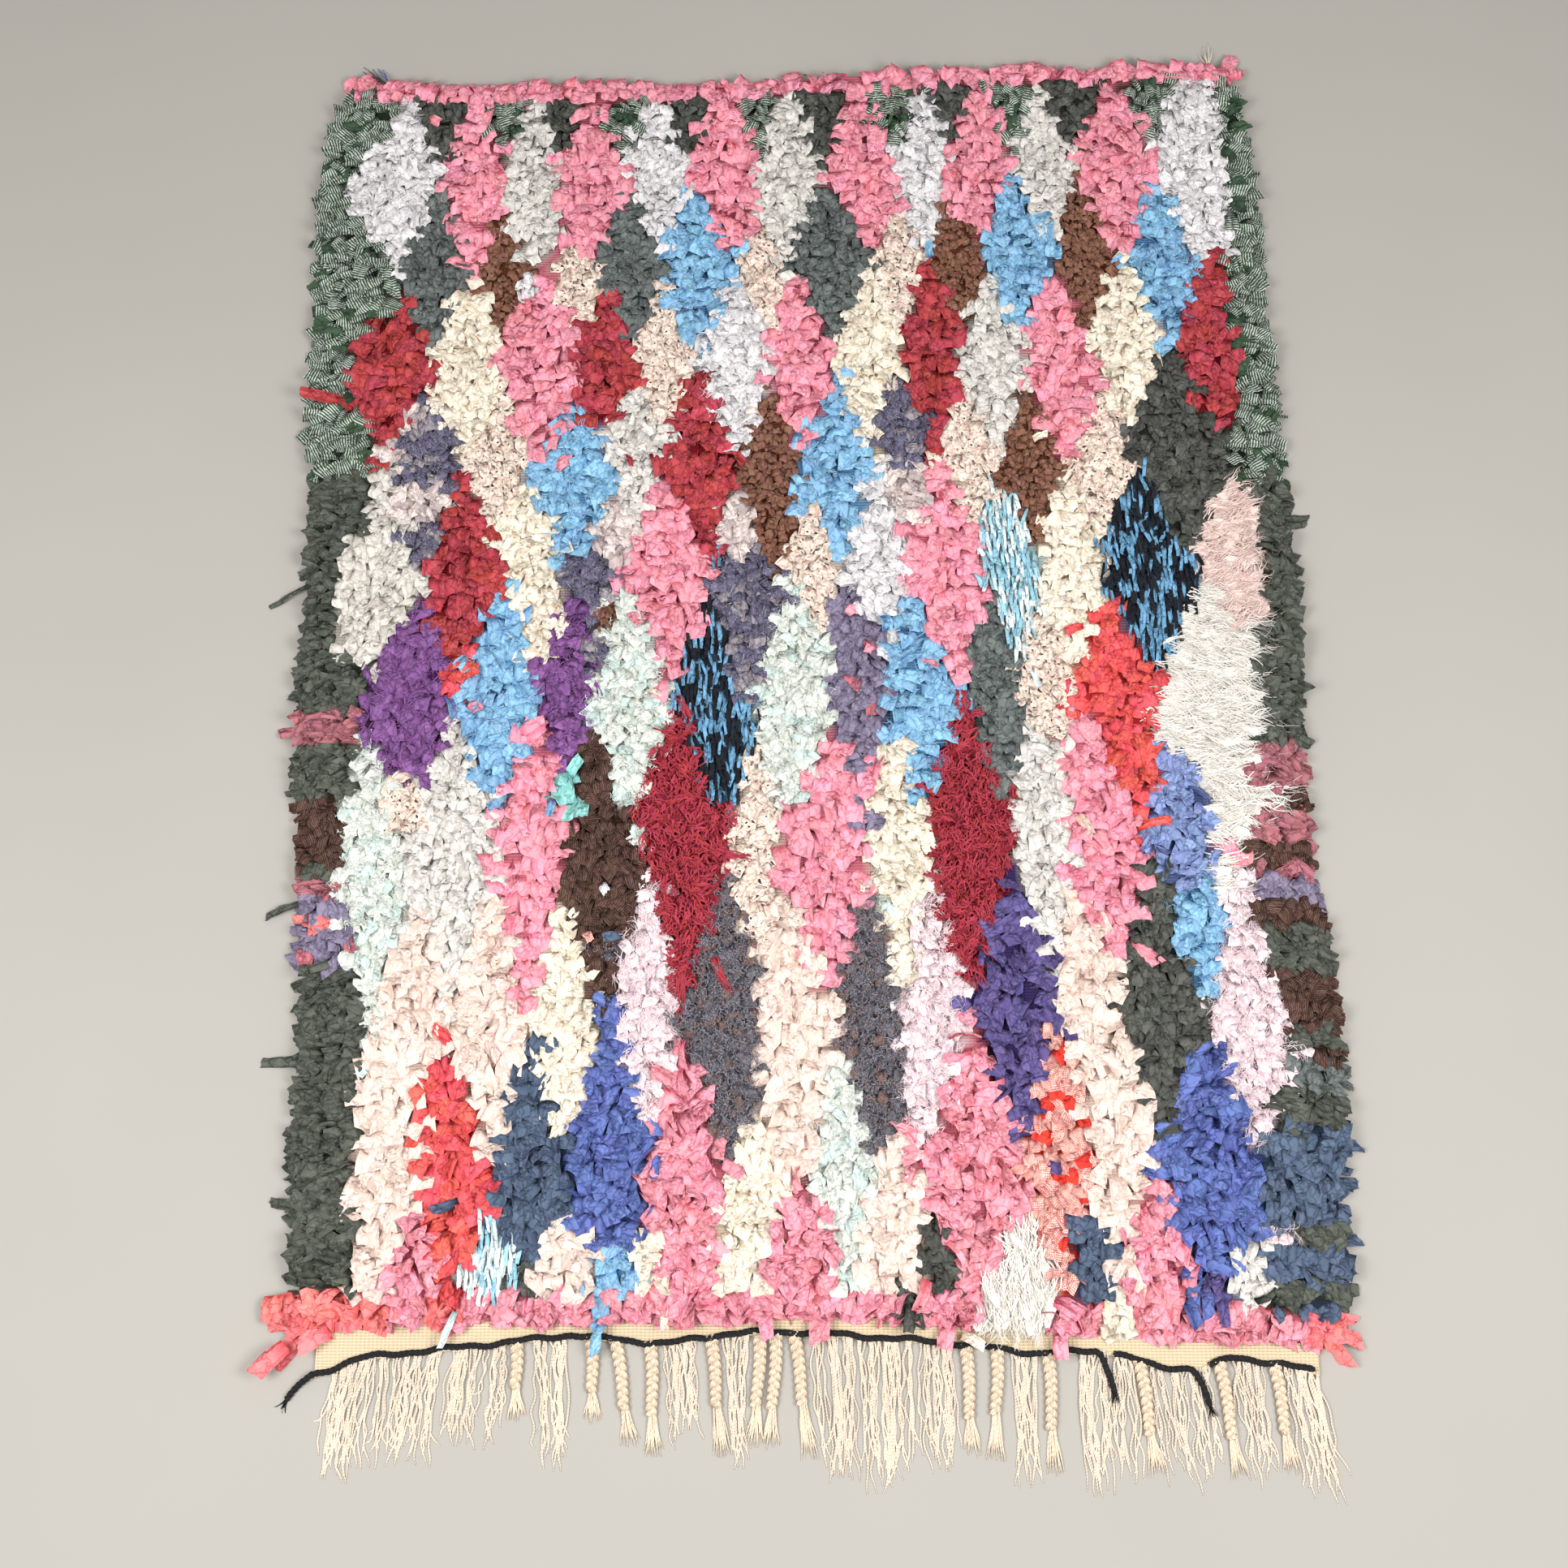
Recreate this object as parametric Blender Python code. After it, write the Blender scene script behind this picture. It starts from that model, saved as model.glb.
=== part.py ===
"""Boucherouite rug, lying flat: rag pile cloth, end band with its fringe, and a twined cord in three lengths.

Metres, +Z up. The origin is on the flat underside, near the middle of the pile cloth.
+X runs across the rug and +Y runs from the fringed end to the plain end.
Tables are in centimetres, as the rug is measured.
"""

import math
import random
from typing import NamedTuple

import bmesh
import bpy

CM = 0.01
MM = 0.001

ACROSS_CELLS = 46
ALONG_CELLS = 62
PILE_HEIGHT = 20.5 * MM
TUFT_RELIEF = 4.5 * MM
ROLL_RELIEF = 2 * MM
ROLL_PITCH = 70 * MM
RIM_HEIGHT = 14.5 * MM
SKIRT_HEIGHT = 7 * MM
TUFT_DRIFT = 4 * MM
LOCK_SHARE = 0.52
LOCK_REACH = (5 * MM, 15 * MM)
FAR_LOCK_REACH = (3 * MM, 8 * MM)
LOCK_DRIFT = 4 * MM
TIP_CLEAR_OF_CORD = 5 * MM

BAND_THICKNESS = 4 * MM
BAND_PART = 1 * MM
BAND_LIP = 2.5 * MM
BAND_LEFT = -52 * CM
BAND_RIGHT = 54 * CM
STRAND_WIDTH = 3.4 * MM
STRAND_THICKNESS = 3 * MM
STRAND_LEVELS = (0.33, 0.67, 1.0)
STRAND_WAVE = 1.6 * MM
WAVE_TURN = 3.2
WAVE_DRIFT = 9.0
BRAID_THICKNESS = 5 * MM
BRAID_LEVELS = (0.16, 0.32, 0.48, 0.64, 0.78, 0.88, 1.0)
BRAID_FILL = (0.98, 0.82, 0.98, 0.82, 0.7, 1.0, 0.9)
ROOT_STEP = 2.5 * MM
TIP_SCATTER = 7 * MM

CORD_RADIUS = 2.4 * MM
CORD_STEP = 16 * MM
CORD_OVER_BAND = BAND_THICKNESS + CORD_RADIUS + 0.4 * MM


class SideRow(NamedTuple):
    """The pile's two long sides at one distance along the rug."""

    y: float
    left: float
    right: float


class EndRow(NamedTuple):
    """The pile's two ends at one distance across the rug."""

    x: float
    near: float
    far: float


class CordRow(NamedTuple):
    """One point of the line that the twined cord follows along the band."""

    x: float
    y: float


class LongLock(NamedTuple):
    """A rag end that lies well out from the rim."""

    side: str
    at: float
    reach: float
    width: float
    drift: float


class FringeGroup(NamedTuple):
    """Warp ends that leave the band together: one braid, or several loose strands."""

    braided: bool
    root_from: float
    root_to: float
    tip_from: float
    tip_to: float
    tip_y: float
    strands: int


class TailPoint(NamedTuple):
    """One point of a cord's free end, with its height in millimetres."""

    x: float
    y: float
    height: float


SIDES = (
    SideRow(-72, -54.5, 56.5),
    SideRow(-60, -54.6, 57.4),
    SideRow(-50, -55.6, 58.2),
    SideRow(-40, -55.4, 58.6),
    SideRow(-30, -56.2, 58.2),
    SideRow(-20, -56.8, 56.8),
    SideRow(-10, -58.0, 56.8),
    SideRow(0, -58.6, 57.0),
    SideRow(12, -58.2, 57.6),
    SideRow(25, -58.4, 57.2),
    SideRow(38, -59.8, 57.0),
    SideRow(50, -60.0, 56.2),
    SideRow(62, -60.0, 56.2),
    SideRow(72, -60.2, 56.2),
    SideRow(80, -58.8, 55.2),
    SideRow(89, -56.6, 54.6),
)

ENDS = (
    EndRow(-60, -69.2, 86.2),
    EndRow(-46, -69.8, 85.4),
    EndRow(-30, -69.4, 85.2),
    EndRow(-14, -69.2, 85.8),
    EndRow(0, -68.9, 86.6),
    EndRow(14, -69.4, 87.2),
    EndRow(26, -70.3, 88.5),
    EndRow(36, -71.0, 88.1),
    EndRow(46, -71.2, 88.6),
    EndRow(58, -72.2, 88.0),
)

CORD_LINE = (
    CordRow(-52, -75.2),
    CordRow(-47.5, -73.4),
    CordRow(-43, -72.9),
    CordRow(-33, -71.9),
    CordRow(-25, -71.0),
    CordRow(-19, -71.6),
    CordRow(-15, -71.9),
    CordRow(-8, -70.8),
    CordRow(0, -70.7),
    CordRow(8, -71.3),
    CordRow(15, -71.8),
    CordRow(24, -72.9),
    CordRow(31, -72.6),
    CordRow(37, -74.2),
    CordRow(41, -74.6),
    CordRow(44.5, -73.4),
    CordRow(50, -73.9),
    CordRow(55, -75.2),
)

LONG_LOCKS = (
    LongLock("left", 62.5, 2.2, 1.2, 0.2),
    LongLock("left", 40, 2.2, 1.4, 0),
    LongLock("left", 15.5, 5.4, 1.0, -0.6),
    LongLock("left", -2.5, 2.2, 1.8, 0),
    LongLock("left", -23.5, 4.6, 1.0, -0.7),
    LongLock("left", -41.5, 4.4, 1.1, 0),
    LongLock("left", -57.5, 2.8, 1.0, 0.2),
    LongLock("left", -68.8, 2.2, 1.8, -0.4),
    LongLock("right", 24, 3.0, 1.6, 0),
    LongLock("right", -55, 2.2, 1.2, 0),
    LongLock("right", -61, 1.8, 1.6, 0),
    LongLock("right", -71, 1.6, 1.8, -0.3),
    LongLock("far", -56, 3.0, 0.8, -0.7),
    LongLock("far", 51.5, 4.4, 0.8, 0.3),
    LongLock("far", 54.2, 2.4, 1.6, 0.4),
    LongLock("near", -53.8, 5.2, 1.6, -0.5),
    LongLock("near", 55.8, 2.4, 1.6, 0.2),
)

FRINGE = (
    FringeGroup(False, -50.5, -45.5, -52.2, -46.6, -85.6, 9),
    FringeGroup(False, -45.0, -38.5, -46.4, -39.2, -83.8, 11),
    FringeGroup(False, -38.0, -32.0, -38.9, -32.5, -82.0, 10),
    FringeGroup(True, -31.5, -30.3, -31.2, -30.0, -79.7, 1),
    FringeGroup(False, -29.3, -25.6, -28.3, -25.2, -84.0, 6),
    FringeGroup(True, -24.3, -21.7, -23.6, -21.4, -79.9, 1),
    FringeGroup(True, -21.0, -19.8, -19.2, -18.0, -82.3, 1),
    FringeGroup(True, -17.3, -16.1, -16.7, -15.5, -83.2, 1),
    FringeGroup(False, -15.4, -11.6, -14.5, -11.0, -82.3, 6),
    FringeGroup(True, -10.9, -9.7, -9.5, -8.4, -83.2, 1),
    FringeGroup(False, -9.4, -6.2, -7.9, -6.5, -84.2, 4),
    FringeGroup(True, -5.7, -4.5, -6.1, -5.0, -82.3, 1),
    FringeGroup(True, -4.0, -2.8, -4.4, -3.3, -82.5, 1),
    FringeGroup(True, -2.1, -0.9, -0.4, 0.8, -83.5, 1),
    FringeGroup(False, 0.4, 4.9, 1.4, 4.9, -85.3, 8),
    FringeGroup(False, 5.2, 9.6, 5.6, 9.4, -86.4, 8),
    FringeGroup(False, 10.2, 11.0, 10.2, 11.0, -85.0, 2),
    FringeGroup(False, 11.3, 15.3, 11.8, 15.7, -84.3, 7),
    FringeGroup(True, 16.1, 17.3, 16.6, 17.8, -83.3, 1),
    FringeGroup(True, 19.4, 20.6, 19.0, 20.2, -83.6, 1),
    FringeGroup(False, 21.5, 24.4, 21.8, 24.4, -86.2, 5),
    FringeGroup(True, 24.8, 26.0, 25.1, 26.3, -85.0, 1),
    FringeGroup(False, 28.0, 32.0, 28.3, 32.0, -86.6, 7),
    FringeGroup(False, 32.4, 34.1, 33.0, 34.6, -85.8, 3),
    FringeGroup(True, 34.4, 35.6, 35.8, 37.0, -85.3, 1),
    FringeGroup(False, 36.2, 37.7, 37.4, 38.7, -86.0, 3),
    FringeGroup(False, 38.0, 41.0, 39.1, 41.9, -86.6, 5),
    FringeGroup(False, 41.2, 42.4, 42.5, 43.7, -84.8, 2),
    FringeGroup(True, 42.8, 44.0, 44.4, 45.6, -85.5, 1),
    FringeGroup(False, 44.6, 48.1, 46.3, 48.9, -86.2, 5),
    FringeGroup(True, 48.6, 49.8, 49.9, 51.1, -85.0, 1),
    FringeGroup(False, 50.2, 53.8, 51.9, 55.4, -87.4, 7),
)

LEFT_TAIL = (
    TailPoint(-54.8, -77.6, 2.5),
    TailPoint(-54.0, -76.7, 2.5),
    TailPoint(-53.4, -76.0, 3.8),
    TailPoint(-52.3, -75.2, 7.1),
)
MIDDLE_TAIL = (
    TailPoint(30.9, -72.9, 6.8),
    TailPoint(31.3, -73.7, 6.4),
    TailPoint(31.8, -75.2, 6.0),
    TailPoint(32.2, -76.9, 6.0),
)
RIGHT_TAIL = (
    TailPoint(40.9, -74.9, 6.8),
    TailPoint(41.3, -75.8, 6.4),
    TailPoint(41.8, -77.0, 6.0),
    TailPoint(42.2, -78.2, 6.0),
)


def clear_scene():
    """Removes every object, so that only the rug is left."""
    for obj in list(bpy.data.objects):
        bpy.data.objects.remove(obj, do_unlink=True)


def new_collection(name):
    """Makes a collection in the scene."""
    made = bpy.data.collections.new(name)
    bpy.context.scene.collection.children.link(made)
    return made


def fibre(name, colour, roughness):
    """Makes a cloth or yarn material."""
    material = bpy.data.materials.new(name)
    material.use_nodes = True
    shader = material.node_tree.nodes["Principled BSDF"]
    shader.inputs["Base Color"].default_value = (*colour, 1)
    shader.inputs["Roughness"].default_value = roughness
    shader.inputs["Metallic"].default_value = 0
    return material


def mix(low, high, part):
    """The value this part of the way from low to high."""
    return low + (high - low) * part


def read_table(table, place, column):
    """A column's value in metres, between the rows on each side of this place."""
    rows = [(row[0] * CM, getattr(row, column) * CM) for row in table]
    place = min(max(place, rows[0][0]), rows[-1][0])
    for (start, low), (stop, high) in zip(rows, rows[1:]):
        if place <= stop:
            return mix(low, high, (place - start) / (stop - start))
    return rows[-1][1]


def place_mesh(bm, name, material, home):
    """Turns a finished bmesh into a named object."""
    bmesh.ops.recalc_face_normals(bm, faces=bm.faces)
    mesh = bpy.data.meshes.new(name)
    bm.to_mesh(mesh)
    bm.free()
    obj = bpy.data.objects.new(name, mesh)
    mesh.materials.append(material)
    home.objects.link(obj)
    return obj


def drop_rim(bm, rim, height):
    """Draws a ring of open edges down to a height, and returns the new ring and the wall between."""
    grown = bmesh.ops.extrude_edge_only(bm, edges=rim)["geom"]
    ring = [item for item in grown if isinstance(item, bmesh.types.BMEdge) and item.is_boundary]
    wall = [item for item in grown if isinstance(item, bmesh.types.BMFace)]
    for vert in {vert for edge in ring for vert in edge.verts}:
        vert.co.z = height
    return ring, wall


def lengthen(bm, face, centre, across, width, low, high):
    """Draws one four-cornered face out to a new centre, width and thickness."""
    old = face.calc_center_median()
    grown = bmesh.ops.extrude_discrete_faces(bm, faces=[face])["faces"][0]
    for vert in grown.verts:
        offset = vert.co - old
        turn = math.copysign(width / 2, offset.x * across[0] + offset.y * across[1])
        vert.co.x = centre[0] + turn * across[0]
        vert.co.y = centre[1] + turn * across[1]
        vert.co.z = high if offset.z > 0 else low
    return grown


def pile_place(across, along):
    """Where a corner of the pile's grid lies on the floor."""
    y = mix(ENDS[0].near, ENDS[0].far, along) * CM
    x = mix(read_table(SIDES, y, "left"), read_table(SIDES, y, "right"), across)
    return x, mix(read_table(ENDS, x, "near"), read_table(ENDS, x, "far"), along)


def lay_pile(bm, rng):
    """Lays the pile's top as a lumpy grid in the rug's outline."""
    bmesh.ops.create_grid(bm, x_segments=ACROSS_CELLS, y_segments=ALONG_CELLS, size=1)
    for vert in bm.verts:
        x, y = pile_place((vert.co.x + 1) / 2, (vert.co.y + 1) / 2)
        roll = ROLL_RELIEF * math.sin(x / ROLL_PITCH) * math.cos(y / ROLL_PITCH)
        lump = rng.uniform(-TUFT_RELIEF, TUFT_RELIEF)
        if vert.is_boundary:
            vert.co = (x, y, RIM_HEIGHT + lump / 3)
        else:
            x += rng.uniform(-TUFT_DRIFT, TUFT_DRIFT)
            y += rng.uniform(-TUFT_DRIFT, TUFT_DRIFT)
            vert.co = (x, y, PILE_HEIGHT + roll + lump)


def side_of(face):
    """The side of the rug that a wall face looks out from, with its outward and sideways directions."""
    low = [vert.co for vert in face.verts if vert.co.z < face.calc_center_median().z]
    along = (low[1] - low[0]).normalized()
    centre = face.calc_center_median()
    if abs(along.y) > abs(along.x):
        name = "left" if centre.x < 0 else "right"
        sign = -1 if name == "left" else 1
        out = (sign * abs(along.y), -sign * along.x * math.copysign(1, along.y))
    else:
        name = "near" if centre.y < 0 else "far"
        sign = -1 if name == "near" else 1
        out = (-sign * along.y * math.copysign(1, along.x), sign * abs(along.x))
    return name, out, (along.x, along.y)


def short_reach(name, centre, rng):
    """How far an ordinary lock reaches, so that near ones stop short of the cord."""
    if name == "far":
        return rng.uniform(*FAR_LOCK_REACH)
    reach = rng.uniform(*LOCK_REACH)
    if name == "near" and BAND_LEFT < centre.x < BAND_RIGHT:
        room = centre.y - read_table(CORD_LINE, centre.x, "y") - BAND_LIP
        reach = min(reach, room - TIP_CLEAR_OF_CORD)
    return reach


def grow_lock(bm, face, row, rng):
    """Draws a wall face out as a rag end, straight from a long lock's row or from chance."""
    name, out, along = side_of(face)
    centre = face.calc_center_median()
    length = max((a.co - b.co).length for a in face.verts for b in face.verts)
    if row:
        reach = row.reach * CM
        width = row.width * CM
        drift = math.copysign(row.drift * CM, row.drift * (along[0] + along[1]))
    else:
        reach = short_reach(name, centre, rng)
        width = length * rng.uniform(0.4, 0.65)
        drift = rng.uniform(-LOCK_DRIFT, LOCK_DRIFT)
    over_band = name == "near" and BAND_LEFT < centre.x < BAND_RIGHT
    levels = ((6.5, 12.5), (6.2, 10.0)) if over_band else ((4.0, 11.5), (0.6, 5.5))
    grown = face
    for part, spread, (low, high) in ((0.45, 0.8, levels[0]), (1.0, 0.0, levels[1])):
        spot = (
            centre.x + out[0] * reach * part + along[0] * drift * part,
            centre.y + out[1] * reach * part + along[1] * drift * part,
        )
        wide = mix(width, length * 0.9, spread)
        grown = lengthen(bm, grown, spot, along, wide, low * MM, high * MM)


def long_rows(wall):
    """Pairs each long lock's row with the wall face nearest to it."""
    paired = {}
    for row in LONG_LOCKS:
        faces = [face for face in wall if side_of(face)[0] == row.side]
        axis = 1 if row.side in ("left", "right") else 0
        nearest = min(faces, key=lambda face: abs(face.calc_center_median()[axis] - row.at * CM))
        paired[nearest] = row
    return paired


def make_pile_cloth(home):
    """The knotted cloth: a lumpy slab, flat underneath, with rag ends round its rim."""
    rng = random.Random(11)
    bm = bmesh.new()
    lay_pile(bm, rng)
    rim = [edge for edge in bm.edges if edge.is_boundary]
    ring, wall = drop_rim(bm, rim, SKIRT_HEIGHT)
    ring, _ = drop_rim(bm, ring, 0)
    bmesh.ops.contextual_create(bm, geom=ring)
    wall.sort(key=lambda face: tuple(round(value, 6) for value in face.calc_center_median()))
    rows = long_rows(wall)
    for face in wall:
        if face in rows or rng.random() < LOCK_SHARE:
            grow_lock(bm, face, rows.get(face), rng)
    return place_mesh(bm, "pile_cloth", fibre("mixed_rag", (0.62, 0.42, 0.42), 0.9), home)


def band_edges():
    """The places across the band where a strand, a braid or a gap begins or ends."""
    edges = [BAND_LEFT]
    for group in FRINGE:
        step = (group.root_to - group.root_from) / group.strands
        edges += [(group.root_from + step * count) * CM for count in range(group.strands + 1)]
    edges.append(BAND_RIGHT)
    return edges


def band_near(x):
    """The band's near edge, under the cord."""
    return read_table(CORD_LINE, x, "y") - BAND_LIP


def looks_near(face):
    """Whether a wall face is on the band's near edge."""
    centre = face.calc_center_median()
    return abs(centre.y - band_near(centre.x)) < BAND_LIP


def lay_band(bm, edges):
    """Lays the band as a strip of cells, one for each strand, braid and gap."""
    bmesh.ops.create_grid(bm, x_segments=len(edges) - 1, y_segments=1, size=1)
    for vert in bm.verts:
        x = edges[round((vert.co.x + 1) / 2 * (len(edges) - 1))]
        y = read_table(ENDS, x, "near") - BAND_PART if vert.co.y > 0 else band_near(x)
        vert.co = (x, y, BAND_THICKNESS)


def grow_strand(bm, face, group, place, rng):
    """Draws one cell of the band's near wall out along the floor, as a loose strand or a braid."""
    root = face.calc_center_median()
    tip_x = mix(group.tip_from, group.tip_to, place) * CM
    tip_y = group.tip_y * CM + rng.uniform(-TIP_SCATTER, TIP_SCATTER / 2)
    root_y = band_near(root.x) - ROOT_STEP
    if group.braided:
        full = (group.root_to - group.root_from) * CM
        levels, widths = BRAID_LEVELS, [full * fill for fill in BRAID_FILL]
        thickness, wave = BRAID_THICKNESS, STRAND_WAVE / 2
    else:
        levels, widths = STRAND_LEVELS, [STRAND_WIDTH] * len(STRAND_LEVELS)
        thickness, wave = STRAND_THICKNESS, STRAND_WAVE
    grown = lengthen(bm, face, (root.x, root_y), (1, 0), widths[0], 0, thickness)
    for level, width in zip(levels, widths):
        swing = wave * math.sin(level * WAVE_TURN + root.x * WAVE_DRIFT)
        spot = (mix(root.x, tip_x, level) + swing, mix(root_y, tip_y, level))
        grown = lengthen(bm, grown, spot, (1, 0), width, 0, thickness)


def make_fringe_band(home):
    """The flat-woven end band, with its warp ends lying on the floor as strands and braids."""
    rng = random.Random(5)
    bm = bmesh.new()
    lay_band(bm, band_edges())
    rim = [edge for edge in bm.edges if edge.is_boundary]
    ring, wall = drop_rim(bm, rim, 0)
    bmesh.ops.contextual_create(bm, geom=ring)
    near_wall = sorted(filter(looks_near, wall), key=lambda face: face.calc_center_median().x)
    cell = 1
    for group in FRINGE:
        for count in range(group.strands):
            grow_strand(bm, near_wall[cell], group, (count + 0.5) / group.strands, rng)
            cell += 1
        cell += 1
    return place_mesh(bm, "fringe_band", fibre("ecru_cotton", (0.78, 0.68, 0.53), 0.85), home)


def cord_run(start, stop):
    """Points along the band's near edge, at even steps, for a cord that lies on it."""
    count = max(2, round((stop - start) / CORD_STEP))
    points = []
    for step in range(count + 1):
        x = mix(start, stop, step / count)
        points.append((x, read_table(CORD_LINE, x, "y"), CORD_OVER_BAND))
    return points


def free_end(rows):
    """Points of a cord's free end."""
    return [(row.x * CM, row.y * CM, row.height * MM) for row in rows]


def make_cord(name, points, material, home):
    """One length of the black cord, round in section."""
    curve = bpy.data.curves.new(name, "CURVE")
    curve.dimensions = "3D"
    curve.bevel_depth = CORD_RADIUS
    curve.bevel_resolution = 1
    curve.use_fill_caps = True
    spline = curve.splines.new("POLY")
    spline.points.add(len(points) - 1)
    for point, place in zip(spline.points, points):
        point.co = (*place, 1)
    curve.materials.append(material)
    obj = bpy.data.objects.new(name, curve)
    home.objects.link(obj)
    return obj


def make_cords(home):
    """The three lengths of the twined cord, each with the free end that it leaves behind."""
    black = fibre("black_yarn", (0.012, 0.012, 0.014), 0.8)
    left = free_end(LEFT_TAIL) + cord_run(-51.2 * CM, 30.4 * CM) + free_end(MIDDLE_TAIL)
    middle = cord_run(32.4 * CM, 40.4 * CM) + free_end(RIGHT_TAIL)
    right = cord_run(42.4 * CM, 53.4 * CM)
    make_cord("twined_cord_left", left, black, home)
    make_cord("twined_cord_middle", middle, black, home)
    make_cord("twined_cord_right", right, black, home)


def main():
    """Builds the rug."""
    clear_scene()
    home = new_collection("boucherouite_rug")
    make_pile_cloth(home)
    make_fringe_band(home)
    make_cords(home)


main()
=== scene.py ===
"""Dresses the boucherouite rug: rag pile in staggered lozenges, end band, fringe and twined cord."""

import logging
import math
from dataclasses import dataclass, field, replace
from enum import Enum

import bpy
import numpy as np
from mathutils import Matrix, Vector

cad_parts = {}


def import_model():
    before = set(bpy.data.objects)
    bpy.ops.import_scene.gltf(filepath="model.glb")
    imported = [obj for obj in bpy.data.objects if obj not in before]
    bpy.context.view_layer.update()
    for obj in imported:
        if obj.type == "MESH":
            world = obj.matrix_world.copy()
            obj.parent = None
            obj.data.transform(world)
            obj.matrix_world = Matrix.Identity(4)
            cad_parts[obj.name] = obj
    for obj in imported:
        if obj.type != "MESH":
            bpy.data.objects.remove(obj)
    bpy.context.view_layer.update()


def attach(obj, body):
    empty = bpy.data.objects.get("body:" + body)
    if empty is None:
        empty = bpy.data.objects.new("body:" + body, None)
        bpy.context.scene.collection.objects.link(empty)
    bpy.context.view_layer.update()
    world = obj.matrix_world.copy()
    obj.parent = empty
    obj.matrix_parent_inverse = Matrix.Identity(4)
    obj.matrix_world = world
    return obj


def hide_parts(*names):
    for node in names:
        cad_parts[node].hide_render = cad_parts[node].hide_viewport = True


LOG = logging.getLogger("rug")
CM = 0.01
MM = 0.001
MM_IN_CM = 10
Colour = tuple[float, float, float]
Tone = tuple[int, int, int]
Sockets = tuple[bpy.types.NodeSocket, ...]


class Pattern(Enum):
    """What a cloth's surface shows besides its plain colour."""

    PLAIN = "plain"
    MIXED = "mixed"
    FLECKED = "flecked"
    STRIPED = "striped"
    RIBBED = "ribbed"
    KNITTED = "knitted"
    TWEED = "tweed"
    STRANDED = "stranded"


class Tuft(Enum):
    """How a cut strip of cloth or yarn stands in the pile."""

    PAD = "pad"
    TAB = "tab"
    CRUMPLE = "crumple"
    BOBBLE = "bobble"
    SLIVER = "sliver"
    OUTWARD = "outward"
    COMBED = "combed"
    WOOLLY = "woolly"
    FRAYED = "frayed"


class Rag(Enum):
    """The cloths and yarns that the rug is knotted from."""

    PINK = "pink"
    ROSE_PINK = "rose_pink"
    CORAL = "coral"
    DUSTY_ROSE = "dusty_rose"
    CRIMSON = "crimson"
    CRIMSON_WOOL = "crimson_wool"
    RED = "red"
    SKY = "sky"
    PERIWINKLE = "periwinkle"
    ROYAL = "royal"
    PURPLE = "purple"
    INDIGO = "indigo"
    DENIM = "denim"
    VIOLET_GREY = "violet_grey"
    NAVY = "navy"
    NAVY_TWEED = "navy_tweed"
    SLATE = "slate"
    CHARCOAL = "charcoal"
    CHARCOAL_SOFT = "charcoal_soft"
    GREEN_STRIPE = "green_stripe"
    BROWN = "brown"
    BROWN_RIB = "brown_rib"
    IVORY = "ivory"
    BLUSH = "blush"
    LILAC_WHITE = "lilac_white"
    LIGHT_GREY = "light_grey"
    OFF_WHITE = "off_white"
    MINT_WHITE = "mint_white"
    FLORAL = "floral"
    BLUSH_GREY = "blush_grey"
    WHITE_SHAG = "white_shag"
    WHITE_TASSEL = "white_tassel"
    ROSE_SHAG = "rose_shag"
    PALE_FRAY = "pale_fray"
    AQUA = "aqua"
    TEAL = "teal"
    KNIT_RED = "knit_red"
    BLUE_BLACK = "blue_black"


def linear(rgb: Colour) -> Colour:
    """Turns a colour from the 0 to 255 scale into linear light.

    Args:
        rgb: Red, green and blue, each from 0 to 255.

    Returns:
        The same colour as linear red, green and blue from 0 to 1.
    """
    parts = [value / 255 for value in rgb]
    return tuple(v / 12.92 if v <= 0.04045 else ((v + 0.055) / 1.055) ** 2.4 for v in parts)


@dataclass(frozen=True)
class RagFinish:
    """One cloth's or yarn's look and the way its ends stand."""

    # The first tone is the cloth's colour where light falls on it; the second is painted shade, the colour it is given
    # in creases, gaps and hollows.
    lit: Tone
    shade_tone: Tone
    tuft: Tuft = Tuft.PAD
    pattern: Pattern = Pattern.PLAIN
    second: Tone = (255, 255, 255)
    share: float = 0.0
    rise: float = 0.0
    variety: float = 0.1
    comb: float = -90.0
    tabs: float = 0.0
    folds: float = 0.8


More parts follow.
